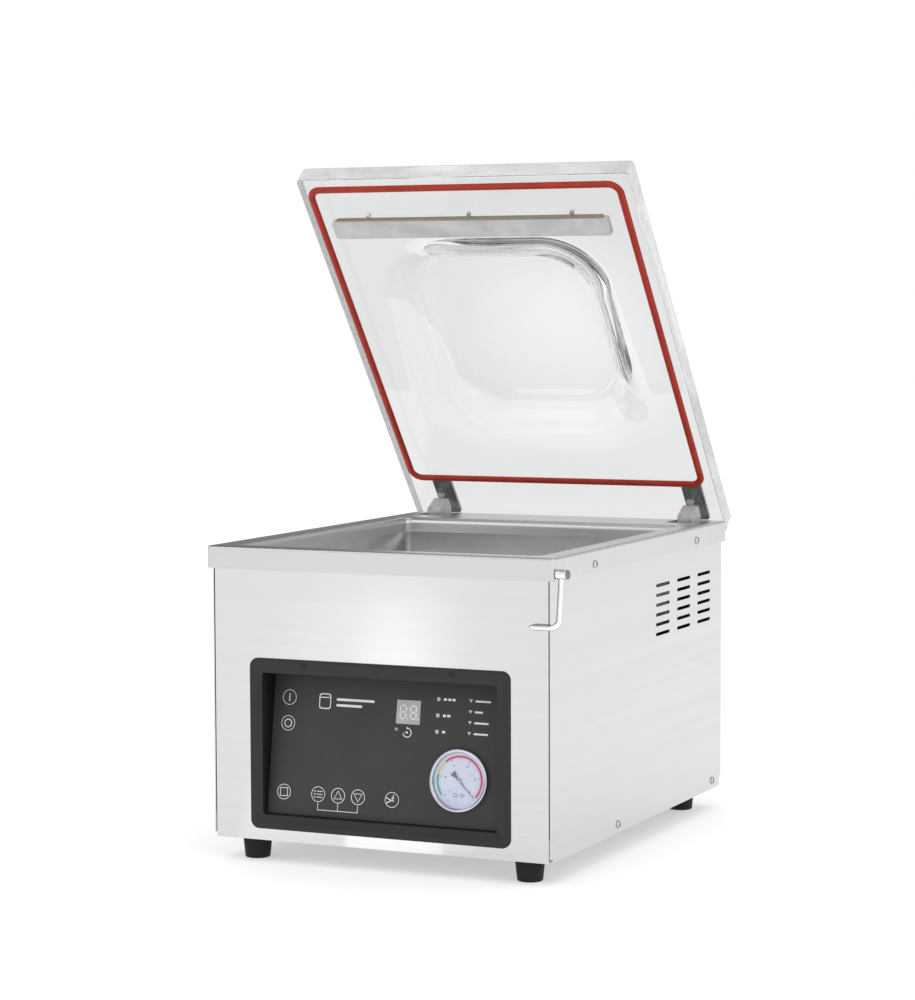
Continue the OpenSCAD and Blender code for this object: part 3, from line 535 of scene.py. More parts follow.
# the dial's printed colours carry a painted glow
dial_white = glowing_enamel("dial_white", srgb("e8ecfa"))
dial_green = glowing_enamel("dial_green", srgb("52bd9f"))
dial_yellow = glowing_enamel("dial_yellow", srgb("efdf7c"))
dial_red = glowing_enamel("dial_red", srgb("e0486a"))
dial_ink = plastic("dial_ink", srgb("5a5a62"), (0.4, 0.5), grain=3.0, depth=0.002)
pointer_grey = satin_metal("pointer_grey", srgb("84867e"), (0.35, 0.5), metallic=0.2)
pump_paint = satin_metal("pump_paint", srgb("7c8288"), (0.4, 0.55), grain=0.3, depth=0.15, metallic=0.3)
motor_paint = satin_metal("motor_paint", srgb("4a525a"), (0.3, 0.45), grain=0.2, depth=0.1, metallic=0.2)
varnish = satin_metal("varnish", srgb("7c6838"), (0.3, 0.45), metallic=0.4)
valve_blue = satin_metal("valve_blue", srgb("52687e"), (0.35, 0.5), metallic=0.2)
ptfe = ptfe_cloth()


# ---------------------------------------------------------------- housing


def housing():
    """Sheet panels keep their packed surfaces; the shaft and brackets get eased edges."""
    cad("front_panel", front_steel, None)
    cad("left_side_panel", side_steel, None)
    cad("right_side_panel", side_steel, None)
    cad("rear_panel", rear_steel, None)
    cad("top_plate", plate_steel, None)
    cad("base_tray", tray_steel, 0.3)
    cad("hinge_brackets", dark_steel, 0.4)
    cad("hinge_shaft", bright_steel, 0.6)
    cad("torsion_springs", spring_wire, None)


FOOT_R = 13.5


def rubber_foot(x, y, height):
    """A moulded foot, wider at the top, with a rolled bottom edge and a hollow underneath."""
    low, roll = 11.6, 1.6
    profile = [(0.2, 1.2), (7.5, 1.2), (8.6, 0.0)]
    profile += arc((low - roll, roll), roll, -90, -4)
    profile += [(FOOT_R, height - 0.6), (FOOT_R - 0.5, height)]
    foot = lathe("foot", profile, n=56)
    return moved(foot, Matrix.Translation((x, y, -height)))


def feet():
    low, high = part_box("rubber_feet")
    height = (right_low.z - low.z) / MM
    xs = [(low.x - MIDDLE_X) / MM + FOOT_R, (high.x - MIDDLE_X) / MM - FOOT_R]
    ys = [(low.y - front_low.y) / MM + FOOT_R, (high.y - front_low.y) / MM - FOOT_R]
    made = joined("moulded_feet", [rubber_foot(x, y, height) for x in xs for y in ys])
    piece(moved(made, MACHINE), "housing", black_rubber, ["rubber_feet"])


def tub():
    """The drawn chamber: straight walls, a filleted floor and round corners."""
    low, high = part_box("vacuum_chamber")
    w, l = (high.x - low.x) / MM, (high.y - low.y) / MM
    top, floor = (high.z - right_low.z) / MM, (low.z - right_low.z) / MM
    middle = (0, (low.y - front_low.y) / MM + l / 2)
    wall, corner, fillet = 2.0, 8.0, 5.0

    def ring(inset, z, extra=0.0):
        r = max(corner - inset + extra, 1.0)
        return [(x, y, z) for x, y in round_rect(w - 2 * inset, l - 2 * inset, r, 12, middle)]

    inner = [ring(wall, top)]
    steps = 6
    for k in range(steps + 1):
        a = math.radians(90 * k / steps)
        inset = wall + fillet * (1 - math.cos(a))
        z = floor + wall + fillet * (1 - math.sin(a))
        inner.append(ring(inset, z, extra=fillet * math.sin(a)))
    outer = [ring(0, top), ring(0, floor + 1), ring(1, floor)]
    made = loft("drawn_tub", list(reversed(outer)) + inner, cap_start=True, cap_end=True)
    piece(moved(outward(made), MACHINE), "housing", tub_steel, ["vacuum_chamber"])


# ---------------------------------------------------------------- lid


SLAB = {"w": 339.6, "l": 442.7, "t": 20.3, "corner": 3.0}
DOME = {
    "mid": 208.0,
    "depth": 37.0,
    "cover": 14.0,
    "outer_floor": (178, 194, 48),
    "outer_rim": (248, 264, 66),
    "inner_floor": (164, 180, 44),
    "inner_rim": (246, 262, 64),
}
GASKET = {"w": 317.2, "l": 368.2, "front": 11.0, "corner": 11.0, "groove": 3.0}


QUARTER = (0, 0.5, 1.05, 1.57)  # angles round a small edge


def slab_ring(inset, z):
    """The slab's outline, drawn in by inset."""
    points = round_rect(
        SLAB["w"] - 2 * inset, SLAB["l"] - 2 * inset, SLAB["corner"] - inset, 14, (0, SLAB["l"] / 2)
    )
    return [(x, y, z) for x, y in points]


def dome_ring(w, l, r, z):
    """A rounded rectangle about the dome's middle."""
    return [(x, y, z) for x, y in round_rect(w, l, r, 14, (0, DOME["mid"]))]


def dome_rings(floor, rim, z_floor, z_rim, steps=14):
    """Rings from the flat floor of the dome out to its rim, along an S-shaped wall."""
    rings = []
    for k in range(steps + 1):
        s = 0.5 - 0.5 * math.cos(math.pi * k / steps)
        out = 0.35 * k / steps + 0.65 * (1 - math.sqrt(1 - s * s))
        w, l, r = [f + (g - f) * out for f, g in zip(floor, rim)]
        rings.append(dome_ring(w, l, r, z_floor + (z_rim - z_floor) * s))
    return rings


def gasket_ring(offset, z):
    """A ring of the gasket's path, offset outwards from its middle line."""
    points = round_rect(
        GASKET["w"] + 2 * offset,
        GASKET["l"] + 2 * offset,
        GASKET["corner"] + offset,
        14,
        (0, GASKET["front"] + GASKET["l"] / 2),
    )
    return [(x, y, z) for x, y in points]


def clear_lid():
    """The lid slab with its moulded dome, polished round edges and the gasket's groove."""
    t, edge = SLAB["t"], 1.0
    top = DOME["depth"] + DOME["cover"]
    hold = 0.8
    outer = dome_rings(DOME["outer_floor"], DOME["outer_rim"], top, t)
    outer += [dome_ring(252, 268, 68, t), slab_ring(edge + hold, t)]
    rim = [slab_ring(edge * (1 - math.sin(a)), t - edge * (1 - math.cos(a))) for a in QUARTER]
    side = [slab_ring(0, t - edge - hold), slab_ring(0, edge + hold)]
    low = [slab_ring(edge * (1 - math.cos(a)), edge * (1 - math.sin(a))) for a in QUARTER]
    low.append(slab_ring(edge + hold, 0))
    mouth, bottom = 2.1, 2.0
    groove = [
        gasket_ring(mouth + hold, 0),
        gasket_ring(mouth, 0),
        gasket_ring(bottom, GASKET["groove"]),
        gasket_ring(-bottom, GASKET["groove"]),
        gasket_ring(-mouth, 0),
        gasket_ring(-mouth - hold, 0),
    ]
    inner = dome_rings(DOME["inner_floor"], DOME["inner_rim"], DOME["depth"], 0)
    inner.append(dome_ring(250, 266, 66, 0))
    rings = outer + rim + side + low + groove + list(reversed(inner))
    made = outward(loft("clear_lid", rings, True, True))
    piece(moved(made, LID), "lid", clear_acrylic, ["lid_slab"])
    made.data.materials.append(cut_acrylic)
    first = (len(outer) + 3) * len(rings[0])
    last = first + 3 * len(rings[0])
    for face in list(made.data.polygons)[first:last]:
        face.material_index = 1


def silicone_gasket():
    """An extruded seal: a crowned bead with two small lips, on a tongue held in the groove."""
    tongue, root = 1.9, 2.9
    lip, lip_z = 3.5, -0.9
    crown_w, crown_h, steps = 3.35, 2.3, 12
    profile = [(-tongue, root), (-tongue, 0.0), (-lip, 0.0), (-lip, lip_z)]
    for k in range(1, steps):
        a = math.pi - math.pi * k / steps
        profile.append((crown_w * math.cos(a), lip_z - crown_h * math.sin(a)))
    profile += [(lip, lip_z), (lip, 0.0), (tongue, 0.0), (tongue, root)]
    rings = [gasket_ring(x, z) for x, z in profile]
    made = loft("silicone_gasket", rings, closed=True)
    piece(moved(outward(made), LID), "lid", silicone, ["lid_gasket"], ease=0.25)


def lid_fittings():
    """The press bar under the lid, and the straps and arms that carry it."""
    cad("press_pad", pad_rubber, 0.5)
    cad("press_rail", brass, 0.15)
    cad("press_bar_screws", bright_steel, 0.3)
    cad("hinge_strap_left", dark_steel, 0.5)
    cad("hinge_strap_right", dark_steel, 0.5)
    cad("hinge_arm_left", casting, 0.6)
    cad("hinge_arm_right", casting, 0.6)
    cad("hinge_screws", bright_steel, 0.5)


# ---------------------------------------------------------------- latch


def latch():
    """The hanging rod with its collar and pin."""
    cad("latch_pin", pin_steel, 0.4)
    cad("latch_collar", latch_steel, 0.6)
    cad("latch_rod", latch_steel, None)


# ---------------------------------------------------------------- control panel

BEZEL = {"w": 256.0, "h": 155.4, "z": 88.3, "proud": 2.5, "frame": 13.3, "side": 12.4}


def bezel():
    """The moulded frame: round outer edge, shallow step, and walls down to the tilted panel."""
    w, h, frame_w = BEZEL["w"], BEZEL["h"], BEZEL["frame"]
    thinner = (BEZEL["side"] - frame_w) / frame_w

    def ring(inset, y, r):
        across = inset * (1 + thinner)
        points = round_rect(w - 2 * across, h - 2 * inset, r, 12, (0, BEZEL["z"]))
        return [(x, y, z) for x, z in points]

    def panel_y(z, offset):
        return PANEL_FOOT_Y + (z - PANEL_FOOT_Z) * math.tan(PANEL_TILT) + offset

    face = -BEZEL["proud"]
    corner, outer_ease, inner_ease, sunk, behind = 8, 1.3, 0.9, 0.6, 0.3
    rings = [ring(0, 0, corner)]
    for a in (0, 0.4, 0.8, 1.2, 1.57):
        rings.append(ring(outer_ease * (1 - math.cos(a)), face + outer_ease * (1 - math.sin(a)), corner))
    step = frame_w - 2.6
    rings.append(ring(step, face, 4.6))
    rings.append(ring(step + 0.5, face + 0.5, 4.2))
    rings.append(ring(step + 1.5, face + sunk, 3.6))
    for a in (0.3, 0.8, 1.2, 1.57):
        inset = frame_w - inner_ease + inner_ease * math.sin(a)
        rings.append(ring(inset, face + sunk + inner_ease * (1 - math.cos(a)), 2.6))
    wall = ring(frame_w, 0, 2.5)
    back = ring(frame_w - 1.5, 0, 4)
    rings.append([(x, panel_y(z, behind), z) for x, _, z in wall])
    rings.append([(x, panel_y(z, behind), z) for x, _, z in back])
    rings.append([(x, 0.0, z) for x, _, z in back])
    made = loft("moulded_bezel", rings, closed=True)
    made = moved(outward(made), MACHINE)
    piece(made, "housing", bezel_black, ["panel_bezel"])


class Print:
    """Flat printed marks on the panel, gathered as thin solids and handed in as one piece."""

    def __init__(self, lift=0.03, thick=0.05, at=(0, 0)):
        self.verts, self.faces = [], []
        self.front, self.back = -lift - thick, -lift
        self.at = at

    def add_loop(self, loop, y):
        self.verts += [(x + self.at[0], y, z + self.at[1]) for x, z in loop]

    def ribbon(self, outer, inner):
        """A closed band between two loops of the same length."""
        n, base = len(outer), len(self.verts)
        self.add_loop(outer, self.back)
        self.add_loop(outer, self.front)
        self.add_loop(inner, self.front)
        self.add_loop(inner, self.back)
        for i in range(4):
            a, b = base + i * n, base + ((i + 1) % 4) * n
            self.faces += [(a + j, a + (j + 1) % n, b + (j + 1) % n, b + j) for j in range(n)]
        return self

    def plate(self, loop):
        """A filled shape."""
        n, base = len(loop), len(self.verts)
        self.add_loop(loop, self.back)
        self.add_loop(loop, self.front)
        for j in range(n):
            k = (j + 1) % n
            self.faces.append((base + j, base + k, base + n + k, base + n + j))
        self.faces.append(tuple(base + j for j in reversed(range(n))))
        self.faces.append(tuple(base + n + j for j in range(n)))
        return self

    def ring(self, r, line, centre=(0, 0), n=48):
        """A round line of radius r."""
        outer, inner = [
            [(x + centre[0], z + centre[1]) for x, z in circle(r + side * line / 2, n)] for side in (1, -1)
        ]
        return self.ribbon(outer, inner)

    def outline(self, loop, line):
        """A closed line of even width along a convex loop."""
        cx = sum(x for x, _ in loop) / len(loop)
        cz = sum(z for _, z in loop) / len(loop)

        def grown(x, z, by):
            d = math.hypot(x - cx, z - cz)
            return (x + (x - cx) / d * by, z + (z - cz) / d * by)

        outer, inner = [[grown(x, z, by) for x, z in loop] for by in (line / 2, -line / 2)]
        return self.ribbon(outer, inner)

    def stroke(self, a, b, line):
        """A straight line from a to b."""
        dx, dz = b[0] - a[0], b[1] - a[1]
        d = math.hypot(dx, dz)
        nx, nz = -dz / d * line / 2, dx / d * line / 2
        start = [(a[0] + nx, a[1] + nz), (a[0] - nx, a[1] - nz)]
        end = [(b[0] - nx, b[1] - nz), (b[0] + nx, b[1] + nz)]
        return self.plate(start + end)

    def bar(self, centre, w, h):
        """A plain rectangle."""
        x, z = centre
        w, h = w / 2, h / 2
        return self.plate([(x - w, z - h), (x + w, z - h), (x + w, z + h), (x - w, z + h)])

    def sector(self, r, line, start, end, steps=40):
        """Part of a ring, with angles in degrees from +x."""
        outer, inner = r + line / 2, r - line / 2
        for k in range(steps):
            a, b = [math.radians(start + (end - start) * (k + i) / steps) for i in (0, 1)]
            corners = ((outer, a), (outer, b), (inner, b), (inner, a))
            self.plate([(radius * math.cos(angle), radius * math.sin(angle)) for radius, angle in corners])
        return self

    def finish(self, name, matrix, body, slot, look):
        """Hands the marks in as one piece."""
        made = mesh_object(name, self.verts, self.faces, smooth=False)
        return piece(moved(outward(made), matrix), body, look)


KEYS = {
    "key_on": (-99.5, 105.7),
    "key_off": (-99.5, 82.3),
    "key_stop": (-99.5, 20.2),
    "key_menu": (-64.7, 20.2),
    "key_up": (-44.7, 20.2),
    "key_down": (-24.7, 20.2),
    "key_seal": (9.0, 20.2),
}
KEY_R = 7.2
LINE = 0.55


def key_symbol(ink, name):
    """The sign inside a key's circle."""
    if name == "key_on":
        ink.stroke((0, -3.6), (0, 3.6), 0.9)
    elif name == "key_off":
        ink.ring(3.5, 0.8)
    elif name == "key_stop":
        ink.outline(round_rect(7.2, 7.2, 0.7, 4), 0.8)
    elif name == "key_menu":
        for z in (-2.6, 0.0, 2.6):
            ink.stroke((-1.4, z), (4.2, z), 0.6)
            ink.plate([(x - 3.4, dot_z + z) for x, dot_z in circle(0.65, 12)])
    elif name in ("key_up", "key_down"):
        way = 1 if name == "key_up" else -1
        ink.outline([(-4.0, -2.9 * way), (4.0, -2.9 * way), (0, 4.2 * way)], 0.9)
    else:
        ink.stroke((-6.2, 2.0), (-0.4, -0.6), 0.9)
        ink.stroke((-5.6, -3.4), (-0.4, -0.6), 0.9)
        ink.stroke((-0.4, -0.6), (2.2, -1.0), 0.9)
        ink.stroke((0.4, 0.0), (1.6, 4.6), 0.9)
        ink.stroke((-0.6, 1.8), (2.2, 1.4), 0.7)


def keys():
    """Each key's printed circle and symbol travel with it."""
    for name, at in KEYS.items():
        cad(name, key_black, 0.15)
        ink = Print(lift=0.4, at=at)
        ink.ring(KEY_R - 0.5, LINE)
        key_symbol(ink, name)
        ink.finish(name + "_print", PANEL, name, "membrane_black", print_white)


def panel_print():
    """Links between keys, level bars by the status lights, the timer sign and a plain pouch mark."""
    ink = Print()
    menu, up, down = KEYS["key_menu"], KEYS["key_up"], KEYS["key_down"]
    link_z = 6.2
    for at in (menu, up, down):
        ink.stroke((at[0], at[1] - KEY_R - 0.2), (at[0], link_z), LINE)
    ink.stroke((menu[0] - LINE / 2, link_z), (down[0] + LINE / 2, link_z), LINE)
    for row, count in ((112, 3), (97.6, 2), (83.2, 1)):
        for k in range(count):
            ink.bar((55.5 + 4.2 * k, row), 3.0, 2.2)
    for row, length in ((112, 15), (102.4, 8), (92.8, 14), (83.2, 14)):
        ink.plate(round_rect(length, 1.7, 0.8, 4, (84.6 + length / 2, row)))
    ink.at = (19.9, 80.6)
    ink.sector(4.0, 0.8, -170, 75)
    ink.plate([(-2.8, 0.2), (0.7, 1.1), (0.7, -0.9)])
    ink.plate([(-0.6, 2.8), (1.6, 4.0), (-0.4, 5.3)])
    ink.at = (-63.5, 104)
    ink.outline(round_rect(11, 13, 2.2, 5), 1.1)
    ink.stroke((-4.6, 3.4), (4.6, 3.4), 0.9)
    ink.at = (-33, 103.6)
    long_bar, short_bar, gap = 38, 26, 5.2
    for k, length in enumerate((long_bar, short_bar)):
        middle = (-(long_bar - length) / 2, gap / 2 - gap * k)
        ink.plate(round_rect(length, 2.2, 1.0, 4, middle))
    ink.finish("panel_print", PANEL, "housing", "membrane_black", print_white)


def display():
    """Two seven-segment figures with their points, pale on a grey window."""
    cad("display_module", window_grey, 0.25)
    figures = Print(lift=0.12, thick=0.08, at=(20, 98.8))
    w, h, line, gap = 5.6, 11.6, 1.25, 0.9
    for x in (-5.0, 5.0):
        for z in (-h / 2, 0, h / 2):
            figures.stroke((x - w / 2 + gap, z), (x + w / 2 - gap, z), line)
        for upright in (x - w / 2, x + w / 2):
            for z in (-h / 4, h / 4):
                figures.stroke((upright, z - h / 4 + gap), (upright, z + h / 4 - gap), line)
        figures.plate([(x + w / 2 + 1.9 + px, -h / 2 + pz) for px, pz in circle(0.75, 16)])
    figures.finish("display_figures", PANEL, "housing", "display_window", segment_grey)


def panel_parts():
    """The plate, its film, the status lamps with the red one, and the board behind."""
    cad("control_plate", film_black, None)
    cad("membrane_overlay", film_black, 0.1)
    cad("status_leds", lamp_white, None)
    red = Print(lift=0.11, thick=0.05, at=(9.1, 83.2))
    red.bar((0, 0), 2.2, 2.2)
    red.finish("power_lamp", PANEL, "housing", "led_white", lamp_red)
    cad("control_board", board_green, 0.2)


# ---------------------------------------------------------------- vacuum gauge


def gauge():
    """The instrument: steel case, turned chrome ring, enamelled dial, needle and window."""
    cad("gauge_case", bright_steel, 0.5)
    cad("gauge_lens", pane, None)
    cad("gauge_dial", dial_white, None)
    inner_r, outer_r, n = 25.0, 28.0, 96
    outer = [(outer_r, 0.0), (outer_r, 2.2)] + arc((26.9, 2.9), 1.1, 0, 90)
    profile = outer + [(25.9, 4.1), (25.2, 3.4), (inner_r, 3.2), (inner_r, 0.2)]
    ring = lathe("gauge_bezel", profile, n, cap_start=False, cap_end=False)
    closing = lathe("closing", [(inner_r, 0.2), (outer_r, 0.0)], n, cap_start=False, cap_end=False)
    ring = joined("gauge_bezel", [ring, closing])
    to_panel = GAUGE @ Matrix.Rotation(math.pi / 2, 4, "X")
    piece(moved(outward(ring), to_panel), "housing", chrome, ["gauge_ring"])
    dial_marks()
    pointer()


SCALE = (-45.0, 225.0)  # the gauge's scale, in degrees from low right round to low left
SCALE_R = 20.2


def on_scale(share):
    """The angle at a share of the scale."""
    return math.radians(SCALE[0] + (SCALE[1] - SCALE[0]) * share)


def tick_size(k):
    """Inner radius and width of a graduation: long tens, middling fives, short ones."""
    if k % 10 == 0:
        return 17.6, 0.4
    if k % 5 == 0:
        return 18.9, 0.25
    return 19.4, 0.15


def dial_marks():
    """Coloured bands, graduations and small figures."""
    bands = (
        ("dial_band_red", dial_red, SCALE[0] + 4, 132.0),
        ("dial_band_yellow", dial_yellow, 133.0, 166.0),
        ("dial_band_green", dial_green, 167.0, SCALE[1] - 6),
    )
    flat = {"lift": -0.5, "thick": 0.06}
    for name, look, start, end in bands:
        band = Print(**flat).sector(21.3, 1.9, start, end)
        band.finish(name, GAUGE, "housing", "dial_enamel", look)
    ticks = Print(**flat)
    for k in range(51):
        a = on_scale(k / 50)
        inner, line = tick_size(k)
        low, high = [(r * math.cos(a), r * math.sin(a)) for r in (inner, SCALE_R)]
        ticks.stroke(low, high, line)
    ticks.ring(1.5, 0.45, (-3.4, -12.8), 20)
    ticks.ring(1.5, 0.45, (3.4, -12.8), 20)
    ticks.finish("dial_graduations", GAUGE, "housing", "dial_enamel", dial_ink)
    figures = ("0", ".2", ".4", ".6", ".8", "1")
    figure_r = 14.4
    for k, figure in enumerate(figures):
        a = on_scale(k / (len(figures) - 1))
        dial_figure(k, figure, figure_r * math.cos(a), figure_r * math.sin(a))


def dial_figure(k, figure, x, z):
    """A small plain number, flat on the dial."""
    curve = bpy.data.curves.new("figure", "FONT")
    curve.body = figure
    curve.size = 3.2
    curve.extrude = 0.02
    curve.align_x = "CENTER"
    curve.align_y = "CENTER"
    text = bpy.data.objects.new("figure", curve)
    mesh = bpy.data.meshes.new_from_object(text)
    bpy.data.objects.remove(text)
    made = bpy.data.objects.new("dial_figure_%d" % k, mesh)
    bpy.context.scene.collection.objects.link(made)
    place = GAUGE @ Matrix.Translation((x, 0.55, z)) @ Matrix.Rotation(math.pi / 2, 4, "X")
    piece(moved(made, place), "housing", dial_ink)


def pointer():
    """A tapered needle with an arrow tail on a domed hub."""
    needle = Print(lift=0.35, thick=0.35)
    rest = on_scale(0)
    tip = [(0, -0.6), (20.5, -0.16), (20.5, 0.16), (0, 0.6)]
    tail = [(0, 0.6), (-3.5, 0.8), (-9.4, 2.9), (-9.4, -2.9), (-3.5, -0.8), (0, -0.6)]
    for outline in (tip, tail):
        needle.plate([
            (x * math.cos(rest) - z * math.sin(rest), x * math.sin(rest) + z * math.cos(rest))
            for x, z in outline
        ])
    blade = mesh_object("needle_blade", needle.verts, needle.faces, smooth=False)
    piece(moved(outward(blade), GAUGE), "needle", pointer_grey, ["gauge_needle"])
    profile = [(0.9, -6.0), (0.9, 0.3), (2.4, 0.4), (2.4, 0.8)] + arc((1.2, 0.8), 1.2, 0, 80, 5)
    hub = lathe("needle_hub", profile + [(0.1, 2.0)], n=32)
    place = GAUGE @ Matrix.Rotation(math.pi / 2, 4, "X")
    piece(moved(outward(hub), place), "needle", bright_steel)


# ---------------------------------------------------------------- inside and rear


def chamber_parts():
    """The tub and everything standing in it."""
    tub()
    cad("suction_port", tub_steel, 0.4)
    cad("release_fitting", bright_steel, 0.3)
    cad("seal_bar", milled, 0.4)
    cad("heating_strip", dark_steel, None)
    cad("ptfe_tape", ptfe, 0.1)
    cad("lift_cylinders", white_plastic, 0.6)
    cad("lift_pistons", bright_steel, 0.3)
    cad("filler_plate", white_plastic, 1.2)


def pump_set():
    """Pump, motor, fan, transformer, valves and hose inside the housing."""
    cad("pump_body", pump_paint, 1.5)
    cad("pump_motor", motor_paint, 0.8)
    cad("motor_fan", black_plastic, 0.3)
    cad("transformer", varnish, 0.6)
    cad("solenoid_valves", valve_blue, 0.6)
    cad("vacuum_hose", hose_rubber, 0.4)


def rear_fittings():
    """The inlet on the rear panel."""
    cad("power_inlet", black_plastic, 0.3)
    cad("inlet_screws", bright_steel, 0.2)


def pan_head(radius, height):
    """A domed screw head with a rounded rim, seat at z = 0."""
    profile = [(radius * 0.96, 0.0), (radius, height * 0.3)]
    for a in (0.3, 0.6, 0.9, 1.2, 1.45):
        profile.append((radius * math.cos(a) ** 0.8, height * (0.3 + 0.7 * math.sin(a))))
    head = lathe("head", profile, n=40)
    w, l = radius * 0.13, radius * 0.55
    corners = [(-l, -w), (l, -w), (l, w), (-l, w)]
    for turn in (0, math.pi / 2):
        rings = [[(x, y, z) for x, y in corners] for z in (height * 0.5, height * 2)]
        tool = loft("slot", rings, True, True)
        tool.matrix_world = Matrix.Rotation(turn, 4, "Z")
        outward(tool)
        cut = head.modifiers.new("slot", "BOOLEAN")
        cut.object = tool
        cut.operation = "DIFFERENCE"
        cut.solver = "EXACT"
        bpy.context.view_layer.update()
        made = bpy.data.meshes.new_from_object(head.evaluated_get(bpy.context.evaluated_depsgraph_get()))
        head.modifiers.clear()
        head.data = made
        bpy.data.objects.remove(tool)
    return head


def copied(obj, matrix):
    """A copy of the object with a matrix applied."""
    twin = bpy.data.objects.new(obj.name, obj.data.copy())
    bpy.context.scene.collection.objects.link(twin)
    return moved(twin, matrix)


def screws():
    """Domed cross-head screws on the skirt and panels, and two black ones on the bezel."""
    silver = pan_head(3.6, 1.95)
    parts = []
    skirt_x = (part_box("top_plate")[1].x - MIDDLE_X) / MM
    panel_x = (right_high.x - MIDDLE_X) / MM
    places = ((panel_x, 159, 8), (panel_x, 416, 8), (skirt_x, 93, 253), (skirt_x, 359, 253))
    for turn, (x, y, z) in enumerate(places):
        spin = Matrix.Rotation(0.5 * turn + 0.2, 4, "Z")
        for side in (-1, 1):
            place = Matrix.Translation((side * x, y, z)) @ Matrix.Rotation(side * math.pi / 2, 4, "Y")
            parts.append(copied(silver, MACHINE @ place @ spin))
    bpy.data.objects.remove(silver)
    heads = joined("cover_screw_heads", parts)
    piece(heads, "housing", screw_steel, ["cover_screws"], ease=0.12)
    black = pan_head(3.1, 1.35)
    parts = []
    for side in (-1, 1):
        place = Matrix.Translation((side * 73, -BEZEL["proud"], 159.4))
        spin = Matrix.Rotation(math.pi / 2, 4, "X") @ Matrix.Rotation(0.6 * side, 4, "Z")
        parts.append(copied(black, MACHINE @ place @ spin))
    bpy.data.objects.remove(black)
    heads = joined("bezel_screw_heads", parts)
    piece(heads, "housing", screw_black, ["bezel_screws"], ease=0.1)


housing()
feet()
clear_lid()
silicone_gasket()
lid_fittings()
latch()
bezel()
panel_parts()
keys()
panel_print()
display()
gauge()
chamber_parts()
pump_set()
rear_fittings()
screws()


# ---------------------------------------------------------------- floor, light and sky


def floor():
    """A wide pale floor, glowing a little like one lit from all around."""
    half = 12.0
    z = cad_box[0].z
    corners = [(-half, -half, z), (half, -half, z), (half, half, z), (-half, half, z)]
    ground = mesh_object("ground", corners, [(0, 1, 2, 3)], smooth=False)
    look = Look("ground", Roughness=0.9, Specular_IOR_Level=0.0, Emission_Strength=0.42)
    look.shader.inputs["Emission Color"].default_value = (1, 1, 1, 1)
    cloud = look.noise(look.coords(), scale=0.002, detail=3)
    look.colour(cloud, srgb("cbcbcb"), srgb("cdcdcd"))
    ground.data.materials.append(look.material)


def area_lamp(name, size, power):
    """A rectangular lamp, not yet placed."""
    data = bpy.data.lights.new(name, "AREA")
    data.shape = "RECTANGLE"
    data.size, data.size_y = size
    data.energy = power
    lamp = bpy.data.objects.new(name, data)
    bpy.context.scene.collection.objects.link(lamp)
    return lamp


def softbox(name, location, side, power):
    """A square softbox aimed at the machine."""
    centre = Vector((0, 0, 0.25))
    lamp = area_lamp(name, (side, side), power)
    lamp.location = location
    lamp.rotation_euler = (centre - Vector(location)).to_track_quat("-Z", "Y").to_euler()


def floor_strip(name, near, far, width, radiance):
    """A low strip of light on the floor, mirrored as an upright band in the front panel."""
    a, b = Vector((*near, 0)), Vector((*far, 0))
    length = (b - a).length
    lamp = area_lamp(name, (length, width), radiance * math.pi * length * width)
    turn = Matrix.Rotation(math.atan2(b.y - a.y, b.x - a.x), 4, "Z")
    middle = (a + b) / 2 + Vector((0, 0, cad_box[0].z + 0.003))
    lamp.matrix_world = Matrix.Translation(middle) @ turn @ Matrix.Rotation(math.pi, 4, "X")
    lamp.visible_camera = False


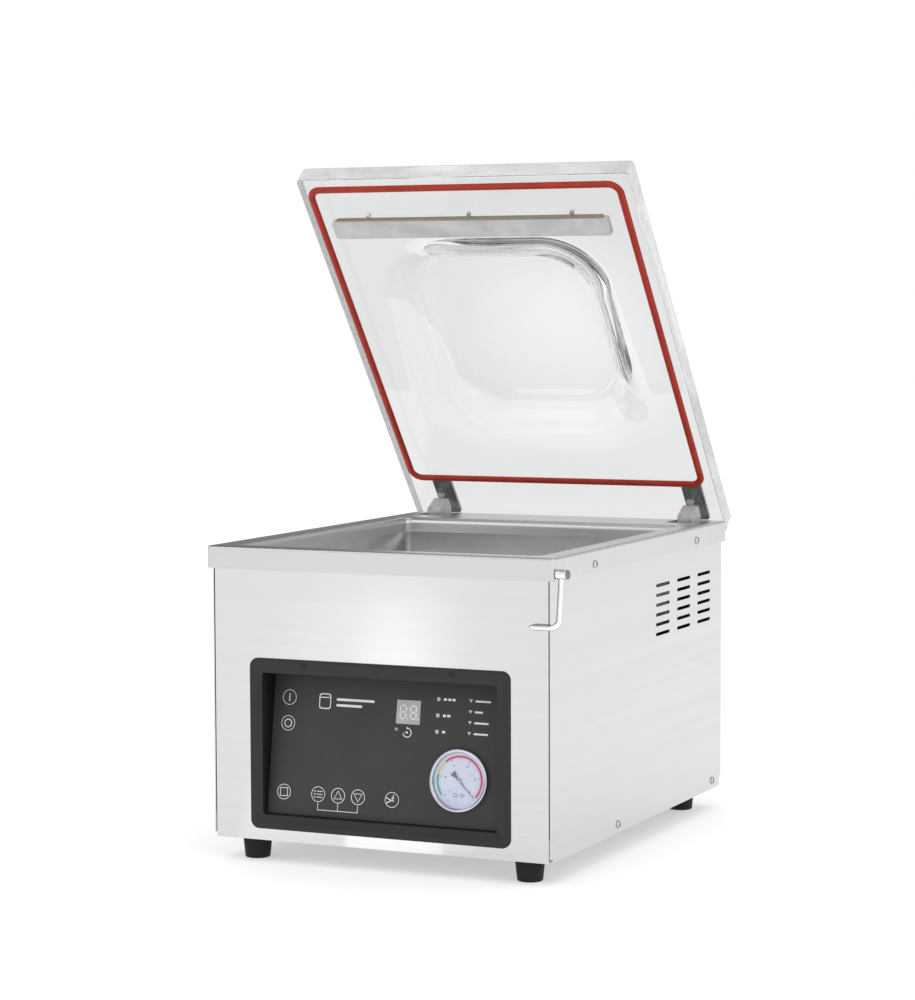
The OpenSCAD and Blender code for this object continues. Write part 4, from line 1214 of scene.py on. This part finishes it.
def sky():
    """A white studio: even light for matt surfaces, and for mirrors a backdrop that darkens
    overhead and behind the machine's left."""
    world = bpy.data.worlds.new("studio")
    bpy.context.scene.world = world
    world.use_nodes = True
    tree = world.node_tree
    tree.nodes.clear()
    coords = tree.nodes.new("ShaderNodeTexCoord")
    path = tree.nodes.new("ShaderNodeLightPath")

    def graded(direction, dots, strengths, blend="LINEAR"):
        """A strength that rises as a ray turns towards a direction."""
        along = tree.nodes.new("ShaderNodeVectorMath")
        along.operation = "DOT_PRODUCT"
        along.inputs[1].default_value = direction
        tree.links.new(coords.outputs["Generated"], along.inputs[0])
        level = tree.nodes.new("ShaderNodeMapRange")
        level.interpolation_type = blend
        for key, value in zip(("From Min", "From Max", "To Min", "To Max"), (*dots, *strengths)):
            level.inputs[key].default_value = value
        tree.links.new(along.outputs["Value"], level.inputs["Value"])
        return level.outputs["Result"]

    def background(strength=1.0, by=None):
        """White light of one strength, or of a strength by direction."""
        made = tree.nodes.new("ShaderNodeBackground")
        made.inputs["Color"].default_value = (1, 1, 1, 1)
        made.inputs["Strength"].default_value = strength
        if by:
            tree.links.new(by, made.inputs["Strength"])
        return made.outputs[0]

    def choose(ray, others, own):
        """One background for a kind of ray, and another for the others."""
        mix = tree.nodes.new("ShaderNodeMixShader")
        tree.links.new(path.outputs[ray], mix.inputs[0])
        tree.links.new(others, mix.inputs[1])
        tree.links.new(own, mix.inputs[2])
        return mix.outputs[0]

    mirrored = background(by=graded((0.66, -0.3, -0.45), (-0.75, 0.15), (0.1, 1.08)))
    through = background(by=graded((-0.42, 0.9, -0.07), (0.35, 0.97), (0.45, 1.0), "SMOOTHSTEP"))
    lit = choose("Is Glossy Ray", background(1.1), mirrored)
    lit = choose("Is Transmission Ray", lit, through)
    seen = choose("Is Camera Ray", lit, background())
    tree.links.new(seen, tree.nodes.new("ShaderNodeOutputWorld").inputs["Surface"])


def lights():
    """Three softboxes, and a bright strip with a soft margin in front."""
    softbox("key_left", (-2.2, -2.4, 2.4), 2.0, 14)
    softbox("fill_right", (2.6, -1.2, 1.8), 1.8, 8)
    softbox("top", (0.2, 0.4, 3.0), 2.4, 10)
    front = front_low.y
    floor_strip("band_core", (-0.02, front - 0.06), (-1.04, front - 2.2), 0.09, 0.36)
    floor_strip("band_soft", (-0.06, front - 0.06), (-1.11, front - 2.2), 0.22, 0.12)


floor()
sky()
lights()
view = bpy.context.scene.view_settings
view.view_transform = "Standard"
bpy.context.scene.cycles.max_bounces = 24
bpy.context.scene.cycles.transmission_bounces = 24

bpy.context.view_layer.update()
